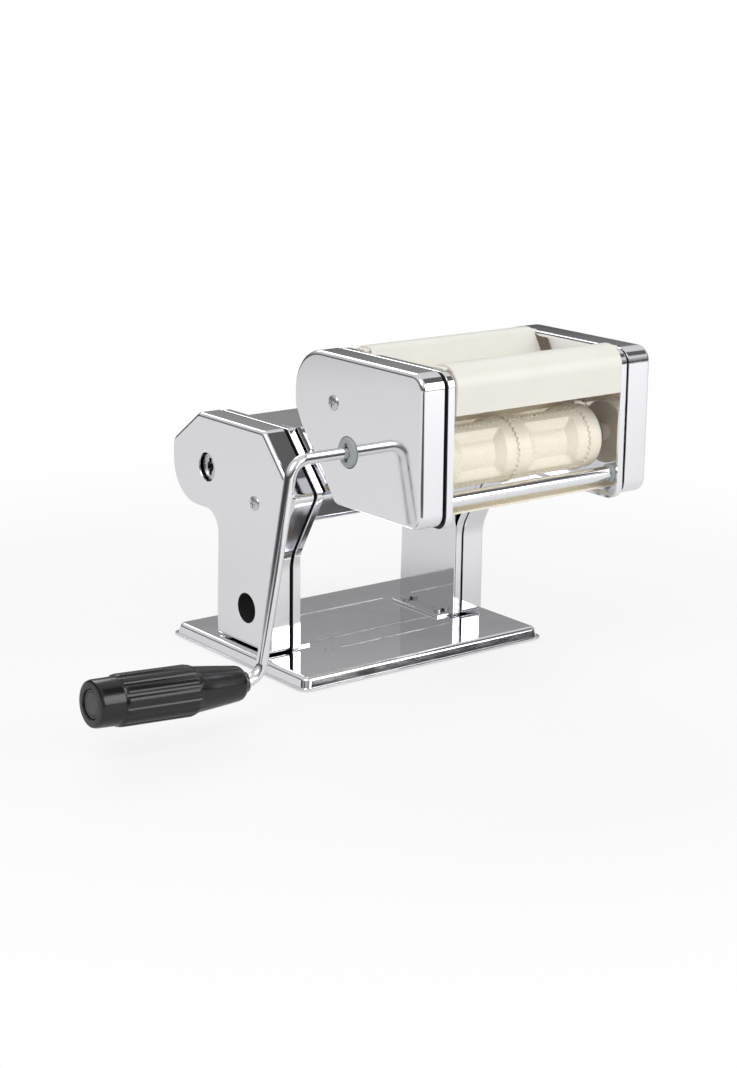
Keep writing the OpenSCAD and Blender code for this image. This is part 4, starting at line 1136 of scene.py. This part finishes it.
body_screws = screw_pair("cover_screw", -8.4, 107.8)
dressed(body_screws, steel, "frame", "steel", "cover_screws")
unit_screws = screw_pair("unit_screw", -93.5, 187.5)
dressed(unit_screws, steel, "ravioli_unit", "steel", "unit_cover_screws")
print("screws:", len(body_screws.data.polygons), "faces")

# %% [markdown]
# ## The dough hopper
# A white plastic funnel drops in from above: two wings spread from the nip over the rollers and roll
# down outside the unit's front and back, and two end walls close the funnel. The second wing could be
# a mirrored copy. Drawing it from the same numbers with the other sign keeps its faces the right way.

# %% Hopper wings
NIP_Y, NIP_Z = -129.5, HUB_Z + 17.5
HOPPER_TOP, HOPPER_SHEET, WING_HALF = UNIT_TOP + 2.6, 2.0, 65
wing_path = [
    (-5.5, NIP_Z, 0),
    (-32, HOPPER_TOP, 8),
    (-51.5, HOPPER_TOP, 13),
    (-50.5, HOPPER_TOP - 29, 0),
]
wing = sheet(wing_path, HOPPER_SHEET, 12)
hopper_parts = []
for side in (1, -1):
    section = [(NIP_Y + side * u, v) for u, v in wing]
    hopper_parts.append(bar(f"hopper_wing_{side}", section, across(-WING_HALF), 2 * WING_HALF))
print("one wing:", size_of(hopper_parts[0]))

# %% Hopper ends
WALL_TOP = HUB_Z + 37
wall = [(-6.3, NIP_Z), (6.3, NIP_Z), (18.6, WALL_TOP), (-18.6, WALL_TOP)]
for x in (-WING_HALF, WING_HALF - HOPPER_SHEET):
    section = [(NIP_Y + u, v) for u, v in wall]
    hopper_parts.append(bar("hopper_end", section, across(x), HOPPER_SHEET))
TAB_LOW, TAB_HIGH, TAB_LONG = 216.6, 218.4, 5
for x in (-69, 64):
    for side in (1, -1):
        y0, y1 = sorted((NIP_Y - side * 33, NIP_Y - side * 42))
        tab = oblong(y0, TAB_LOW, y1, TAB_HIGH)
        hopper_parts.append(bar("hopper_tab", tab, across(x), TAB_LONG))
for part in hopper_parts:
    smooth(part, bevel=0.6, segments=3)
hopper = joined(*hopper_parts)
dressed(hopper, hopper_white, "hopper", "hopper_plastic", "dough_hopper")
print("hopper:", size_of(hopper))

# %% [markdown]
# ## The crank
# The crank is one chromed rod with two bends. It could be a curve with a round bevel. Pulling a ring
# of points along the shaft, spinning it round the first bend, pulling it down the arm, spinning it
# again and pulling it out along the handle is how a pipe is bent, and each bend keeps its radius.

# %% Lines of the crank
ROD_R, BEND_R, BEND_STEPS = 3.6, 12.0, 14
LEAN, RISE = math.radians(10.33), math.radians(4)
ARM_DROP, HANDLE_LONG = 131.1, 112
shaft = Vector((-1, 0, 0))
arm = Vector((-math.sin(LEAN), 0, -math.cos(LEAN)))
handle = Vector((-math.cos(RISE), 0, math.sin(RISE)))
shaft_start = Vector((-67.5, HUB_Y, HUB_Z))
corner_one = Vector((-130.6, HUB_Y, HUB_Z))
corner_two = corner_one + arm * ARM_DROP / math.cos(LEAN)
turn_one, turn_two = math.pi / 2 - LEAN, math.pi / 2 - LEAN + RISE
cut_one, cut_two = BEND_R * math.tan(turn_one / 2), BEND_R * math.tan(turn_two / 2)
print("the crank's corners lie", round((corner_two - corner_one).length, 1), "mm apart")


# %% Bending the rod
def pull_ring(move):
    """Pulls the open end of the rod along."""
    bpy.ops.mesh.extrude_region_move(TRANSFORM_OT_translate={"value": move * MM})


def bend_ring(centre, angle):
    """Swings the open end of the rod round a centre, in the plane of the crank."""
    bpy.ops.mesh.spin(steps=BEND_STEPS, angle=angle, center=centre * MM, axis=(0, 1, 0))


ring_angles = [2 * math.pi * k / 36 for k in range(36)]
ring = [shaft_start + ROD_R * Vector((0, math.cos(a), math.sin(a))) for a in ring_angles]
rod = drawn("crank_rod", ring)
edit(rod)
bpy.ops.mesh.select_all(action="SELECT")
bend_one = corner_one - shaft * cut_one
pull_ring(bend_one - shaft_start)
bend_ring(bend_one + BEND_R * Vector((0, 0, -1)), turn_one)
arm_start = corner_one + arm * cut_one
bend_two = corner_two - arm * cut_two
pull_ring(bend_two - arm_start)
bend_ring(bend_two + BEND_R * Vector((-math.cos(LEAN), 0, math.sin(LEAN))), -turn_two)
handle_start = corner_two + handle * cut_two
pull_ring(corner_two + handle * HANDLE_LONG - handle_start)
done()
outward(rod)
smooth(rod, angle=40, bevel=0.4)
dressed(rod, rod_chrome, "crank", "chrome_rod", "crank_rod")
print("rod:", size_of(rod))

# %% [markdown]
# ## The grip
# The grip is turned black plastic: a narrow neck, a long cone, a barrel with finger ribs and a collar
# round a grey end disc. Ribs could be laid on the barrel one by one. Here they are what is left between
# flutes, which slim rods cut along the barrel, and so they end softly, as a moulding's do.

# %% Grip body
NECK_FROM, GRIP_R, GRIP_LONG = 2.6, 15.5, 105
grip_start = corner_two + handle * 11
grip_profile = [
    (ROD_BORE_R, NECK_FROM), (7.4, NECK_FROM), (9.2, 3.2), (10.3, 4.6), (10.8, 6.6), (11.6, 14),
    (13.0, 27), (13.9, 36), (14.9, 38.6), (GRIP_R, 41), (GRIP_R, 87), (15.2, 88.6), (14.3, 89.6),
    (14.3, 92), (14.1, 102.8), (13.6, 104.4), (12.4, GRIP_LONG), (9.4, GRIP_LONG), (8.8, 104.5),
    (8.8, 100.7), (ROD_BORE_R, 100.7),
]
grip = turned("hand_grip", grip_profile, grip_start, handle, sides=112)
smooth(grip, angle=35)
print("grip:", size_of(grip))

# %% Flutes and end disc
FLUTES, FLUTE_OUT, FLUTE_R, FLUTE_FROM, FLUTE_LONG = 14, 17.3, 2.6, 38.3, 53
side_u = Vector((0, 1, 0))
side_v = handle.cross(side_u)
flutes = []
for k in range(FLUTES):
    angle = 2 * math.pi * k / FLUTES
    spoke = side_u * math.cos(angle) + side_v * math.sin(angle)
    start = grip_start + spoke * FLUTE_OUT + handle * FLUTE_FROM
    flutes.append(turned("flute", oblong(0, 0, FLUTE_R, FLUTE_LONG), start, handle, sides=28))
cut(grip, joined(*flutes))
smooth(grip, angle=35)
dressed(grip, black, "grip", "black_plastic", "hand_grip")
disc_profile = [
    (0, 0), (8.75, 0), (8.75, 1.4), (8.2, 1.9), (7.4, 1.9), (7.0, 1.5), (6.6, 1.9), (0, 2.1),
]
disc_start = corner_two + handle * 113.1
disc = turned("grip_disc", disc_profile, disc_start, handle, sides=64)
smooth(disc, angle=40)
dressed(disc, disc_grey, "grip", "black_plastic", "grip_end_disc")
print("faces after fluting:", len(grip.data.polygons))

# %% [markdown]
# ## The thickness knob
# The knob on the right side has finger scallops and numbers from 1 to 7 for the thickness steps. Its
# body is turned and its scallops are drilled along its rim. The numbers could be a printed picture.
# They are text turned into thin raised shapes, which stay sharp from close by.

# %% Knob body
KNOB_X, KNOB_FACE, SKIRT_R = 92.0, 17.8, 21
SCALLOPS, SCALLOP_OUT, SCALLOP_R = 16, 20.6, 2.7
knob_profile = [
    (4.05, 0), (19.8, 0), (SKIRT_R, 1.0), (SKIRT_R, 4.2), (20.2, 5.2), (19.2, 6), (18.6, 16.4),
    (17.6, 17.6), (16.6, KNOB_FACE), (8.6, KNOB_FACE), (7.8, 17.0), (7.8, 6), (4.05, 6),
]
knob = turned("setting_knob", knob_profile, (KNOB_X, KNOB_Y, DRIVE_Z), (1, 0, 0), sides=96)
for k in range(SCALLOPS):
    angle = 2 * math.pi * k / SCALLOPS
    y, z = KNOB_Y + SCALLOP_OUT * math.cos(angle), DRIVE_Z + SCALLOP_OUT * math.sin(angle)
    drill(knob, KNOB_X + 5.4, KNOB_X + 20, y, z, SCALLOP_R, 20)
smooth(knob, bevel=0.3)
dressed(knob, black, "thickness_knob", "black_plastic", "thickness_knob")
print("knob:", size_of(knob))

# %% Numbers
STEPS_ON_KNOB, FIRST_ANGLE, STEP_ANGLE = 7, 160, 40
DIGIT_RING, DIGIT_SIZE, DIGIT_DEEP = 12.3, 5.4, 0.12
upright = Matrix(((0, 0, 1), (1, 0, 0), (0, 1, 0))).to_4x4()


def number(text, angle):
    """One raised number on the knob's face, with its top outwards."""
    bpy.ops.object.select_all(action="DESELECT")
    bpy.ops.object.text_add()
    digit = bpy.context.object
    digit.data.body = text
    digit.data.size = DIGIT_SIZE * MM
    digit.data.align_x = digit.data.align_y = "CENTER"
    digit.data.extrude = DIGIT_DEEP * MM
    only(digit)
    bpy.ops.object.convert(target="MESH")
    digit = bpy.context.object
    y, z = KNOB_Y + DIGIT_RING * math.cos(angle), DRIVE_Z + DIGIT_RING * math.sin(angle)
    place = Matrix.Translation(Vector((KNOB_X + KNOB_FACE + 0.06, y, z)) * MM)
    digit.data.transform(place @ Matrix.Rotation(angle - math.pi / 2, 4, "X") @ upright)
    return digit


digits = []
for k in range(STEPS_ON_KNOB):
    digits.append(number(str(k + 1), math.radians(FIRST_ANGLE - STEP_ANGLE * k)))
numbers = joined(*digits)
numbers.name = "knob_numbers"
dressed(numbers, number_white, "thickness_knob", "black_plastic")
print("numbers:", len(digits))

# %% [markdown]
# ## The knob's spring
# A small coil spring inside the knob presses it onto its stop pin. A wire's section is extruded and
# turned a little at each step, so it climbs in a helix. The Screw modifier could do that too, but the
# steps show how a helix grows. When the knob is pulled out the coil is squeezed.

# %% Coil spring
SPRING_R, WIRE_R, SPRING_LOW, SPRING_HIGH = 6.1, 0.5, 98.1, 106.9
TURNS, STEPS, KNOB_PULL = 4, 20, 4
spring_floor = Vector((SPRING_LOW, KNOB_Y, DRIVE_Z))
wire_start = spring_floor + Vector((WIRE_R, SPRING_R, 0))
wire_angles = [2 * math.pi * k / 10 for k in range(10)]
wire = [wire_start + WIRE_R * Vector((math.sin(a), math.cos(a), 0)) for a in wire_angles]
coil = drawn("spring_coil", wire)
edit(coil)
bpy.ops.mesh.select_all(action="SELECT")
climb = (SPRING_HIGH - SPRING_LOW - 2 * WIRE_R) / (TURNS * STEPS)
for _ in range(TURNS * STEPS):
    bpy.ops.mesh.extrude_region_move(TRANSFORM_OT_translate={"value": (climb * MM, 0, 0)})
    bpy.ops.transform.rotate(
        value=2 * math.pi / STEPS, orient_axis="X", center_override=spring_floor * MM
    )
done()
outward(coil)
smooth(coil, angle=50)
dressed(coil, steel, "thickness_knob", "steel", "knob_spring")
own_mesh(coil)
print("spring:", size_of(coil))

# %% [markdown]
# ## The floor
# The machine stands on a pale floor under soft light. Chrome shows what is round it, so the floor is
# darker far behind and in a patch to the front left, which the bright sheets mirror as soft grey. The
# camera itself sees it fade to even white. One big plane with a mixed material does all of that, and
# a curved paper sweep would need more room for the same look.


# %% Measuring on the floor
def reach_along(tree, source, way):
    """How far a place lies along a direction."""
    node = tree.nodes.new("ShaderNodeVectorMath")
    node.operation = "DOT_PRODUCT"
    node.inputs[1].default_value = way
    tree.links.new(source, node.inputs[0])
    return node.outputs["Value"]


def worked_out(tree, kind, first, second=None):
    """The result of one sum on one or two values."""
    node = tree.nodes.new("ShaderNodeMath")
    node.operation = kind
    tree.links.new(first, node.inputs[0])
    if second:
        tree.links.new(second, node.inputs[1])
    return node.outputs["Value"]


print("the floor is toned by distances in metres")

# %% Floor
FLOOR_SIZE = 12
bpy.ops.object.select_all(action="DESELECT")
bpy.ops.mesh.primitive_plane_add(size=FLOOR_SIZE, location=(0, 0, 0))
floor = bpy.context.object
floor.name = "floor"
paper, paper_tree, paper_shader = finish("floor_paper", (0.80, 0.80, 0.80), roughness=0.7)
floor_place = paper_tree.nodes.new("ShaderNodeTexCoord").outputs["Object"]
to_back_left = reach_along(paper_tree, floor_place, (-0.6, 0.8, 0))
to_front_left = reach_along(paper_tree, floor_place, (-0.6, -0.8, 0))
sideways = worked_out(
    paper_tree, "ABSOLUTE", reach_along(paper_tree, floor_place, (0.8, -0.6, 0))
)
behind = ramp(paper_tree, to_back_left, 0.80, 0.34, 1.0, 1.9)
beside = ramp(paper_tree, sideways, 0.04, 1.0, 0.28, 0.42)
near = ramp(paper_tree, to_front_left, 1.0, 0.04, 0.60, 0.72)
patch = worked_out(paper_tree, "MAXIMUM", beside, near)
tone = worked_out(paper_tree, "MULTIPLY", behind, patch)
paper_tree.links.new(tone, paper_shader.inputs["Base Color"])
print("floor:", FLOOR_SIZE, "m wide")

# %% White for the camera
FADE_FROM, FADE_TO = 0.35, 0.60
lit_paper = paper_tree.nodes.new("ShaderNodeEmission")
lit_paper.inputs["Color"].default_value = (1, 1, 1, 1)
lit_paper.inputs["Strength"].default_value = 1.0
paper_mix = paper_tree.nodes.new("ShaderNodeMixShader")
floor_reach = paper_tree.nodes.new("ShaderNodeVectorMath")
floor_reach.operation = "LENGTH"
paper_tree.links.new(floor_place, floor_reach.inputs[0])
fade = ramp(paper_tree, floor_reach.outputs["Value"], 0.78, 1.0, FADE_FROM, FADE_TO)
seen = paper_tree.nodes.new("ShaderNodeLightPath").outputs["Is Camera Ray"]
paper_tree.links.new(worked_out(paper_tree, "MULTIPLY", seen, fade), paper_mix.inputs["Fac"])
paper_tree.links.new(paper_shader.outputs["BSDF"], paper_mix.inputs[1])
paper_tree.links.new(lit_paper.outputs["Emission"], paper_mix.inputs[2])
paper_out = paper_tree.nodes["Material Output"].inputs["Surface"]
paper_tree.links.new(paper_mix.outputs["Shader"], paper_out)
floor.data.materials.append(paper)
print("the floor turns white between", FADE_FROM, "and", FADE_TO, "m from the middle")

# %% [markdown]
# ## The room
# Polished sheet has no colour of its own, so the room decides how it looks. A picture of a room would
# do. A ramp over the height of each direction is enough: a light ceiling and floor with a dark band at
# eye level, which draws the dark lines along the bright edges. One dark flag high up on the right keeps
# the tops from glaring, and the camera sees plain white instead of all this.

# %% World
CEILING, GROUND, FLAG = 0.75, 0.65, 0.12
BANDS = (
    (0.49, 0.38), (0.505, 0.06), (0.568, 0.06), (0.59, 0.24), (0.61, 0.32), (0.645, 0.30),
    (0.69, 0.64),
)
world = bpy.data.worlds.new("studio")
bpy.context.scene.world = world
world.use_nodes = True
sky = world.node_tree
direction = sky.nodes.new("ShaderNodeTexCoord").outputs["Generated"]
split = sky.nodes.new("ShaderNodeSeparateXYZ")
bands = sky.nodes.new("ShaderNodeValToRGB")
bands.color_ramp.elements[0].position = 0.0
bands.color_ramp.elements[0].color = (GROUND, GROUND, GROUND, 1)
bands.color_ramp.elements[1].position = 1.0
bands.color_ramp.elements[1].color = (CEILING, CEILING, CEILING, 1)
for position, value in BANDS:
    element = bands.color_ramp.elements.new(position)
    element.color = (value, value, value, 1)
sky.links.new(direction, split.inputs["Vector"])
sky.links.new(ramp(sky, split.outputs["Z"], 0, 1, -1, 1), bands.inputs["Fac"])
print("bands in the room:", len(bands.color_ramp.elements))


# %% Flag and backdrop
def laid_over(share, below, value):
    """Covers what lies below with one even grey, by a share."""
    node = sky.nodes.new("ShaderNodeMix")
    node.data_type = "RGBA"
    node.inputs[7].default_value = (value, value, value, 1)
    sky.links.new(share, node.inputs["Factor"])
    sky.links.new(below, node.inputs[6])
    return node.outputs[2]


flag_way = reach_along(sky, direction, (0.585, -0.323, 0.744))
flagged = laid_over(ramp(sky, flag_way, 0, 1, 0.955, 0.975), bands.outputs["Color"], FLAG)
rays = sky.nodes.new("ShaderNodeLightPath")
background = sky.nodes["Background"]
sky.links.new(laid_over(rays.outputs["Is Camera Ray"], flagged, 1), background.inputs["Color"])
background.inputs["Strength"].default_value = 1.0
print("the flag is about", round(math.degrees(2 * math.acos(0.955))), "degrees wide")

# %% [markdown]
# ## Lamps
# The room alone lights everything evenly and leaves no form. Three soft boxes add it: the key from the
# upper left, the fill low in front and a weak one from behind for the rims. Points of light would give
# hard shadows and small hot spots on the chrome, so each lamp is a square more than a metre wide.


# %% Lamps
def lamp(name, place, size, power):
    """A soft box that looks at the machine."""
    bpy.ops.object.select_all(action="DESELECT")
    bpy.ops.object.light_add(type="AREA", location=place)
    light = bpy.context.object
    light.name = name
    light.data.shape = "SQUARE"
    light.data.size = size
    light.data.energy = power
    aim = Vector((-0.05, -0.05, 0.1)) - Vector(place)
    light.rotation_euler = aim.to_track_quat("-Z", "Y").to_euler()
    print(name, "lamp:", round(aim.length, 2), "m away,", power, "W")


lamp("key", (-1.6, -1.0, 2.0), 1.4, 19)
lamp("fill", (0.9, -2.0, 0.9), 1.4, 21)
lamp("back", (0.6, 1.8, 1.8), 1.2, 12)

# %% [markdown]
# ## The camera
# The camera looks at the left front corner from a little above, where the crank, the covers and the
# rollers all show. It could be aimed by a constraint. Its place and its three directions are written
# out instead, so the view never shifts. The Standard view keeps the whites white.

# %% Camera
FOCAL, FRAME_HIGH, SENSOR = 2178.64, 1068, 36
bpy.ops.object.select_all(action="DESELECT")
bpy.ops.object.camera_add()
camera = bpy.context.object
right = Vector((0.797797, -0.602847, 0.009756))
up = Vector((0.145824, 0.208631, 0.967062))
ahead = Vector((0.585025, 0.770097, -0.254355))
turn = Matrix((right, up, -ahead)).transposed().to_4x4()
camera.matrix_world = Matrix.Translation(Vector((-0.851804, -1.132685, 0.445047))) @ turn
camera.data.sensor_width = SENSOR
camera.data.lens = FOCAL / FRAME_HIGH * SENSOR
camera.data.clip_start = 0.05
bpy.context.scene.camera = camera
bpy.context.scene.view_settings.view_transform = "Standard"
print("lens:", round(camera.data.lens, 1), "mm")
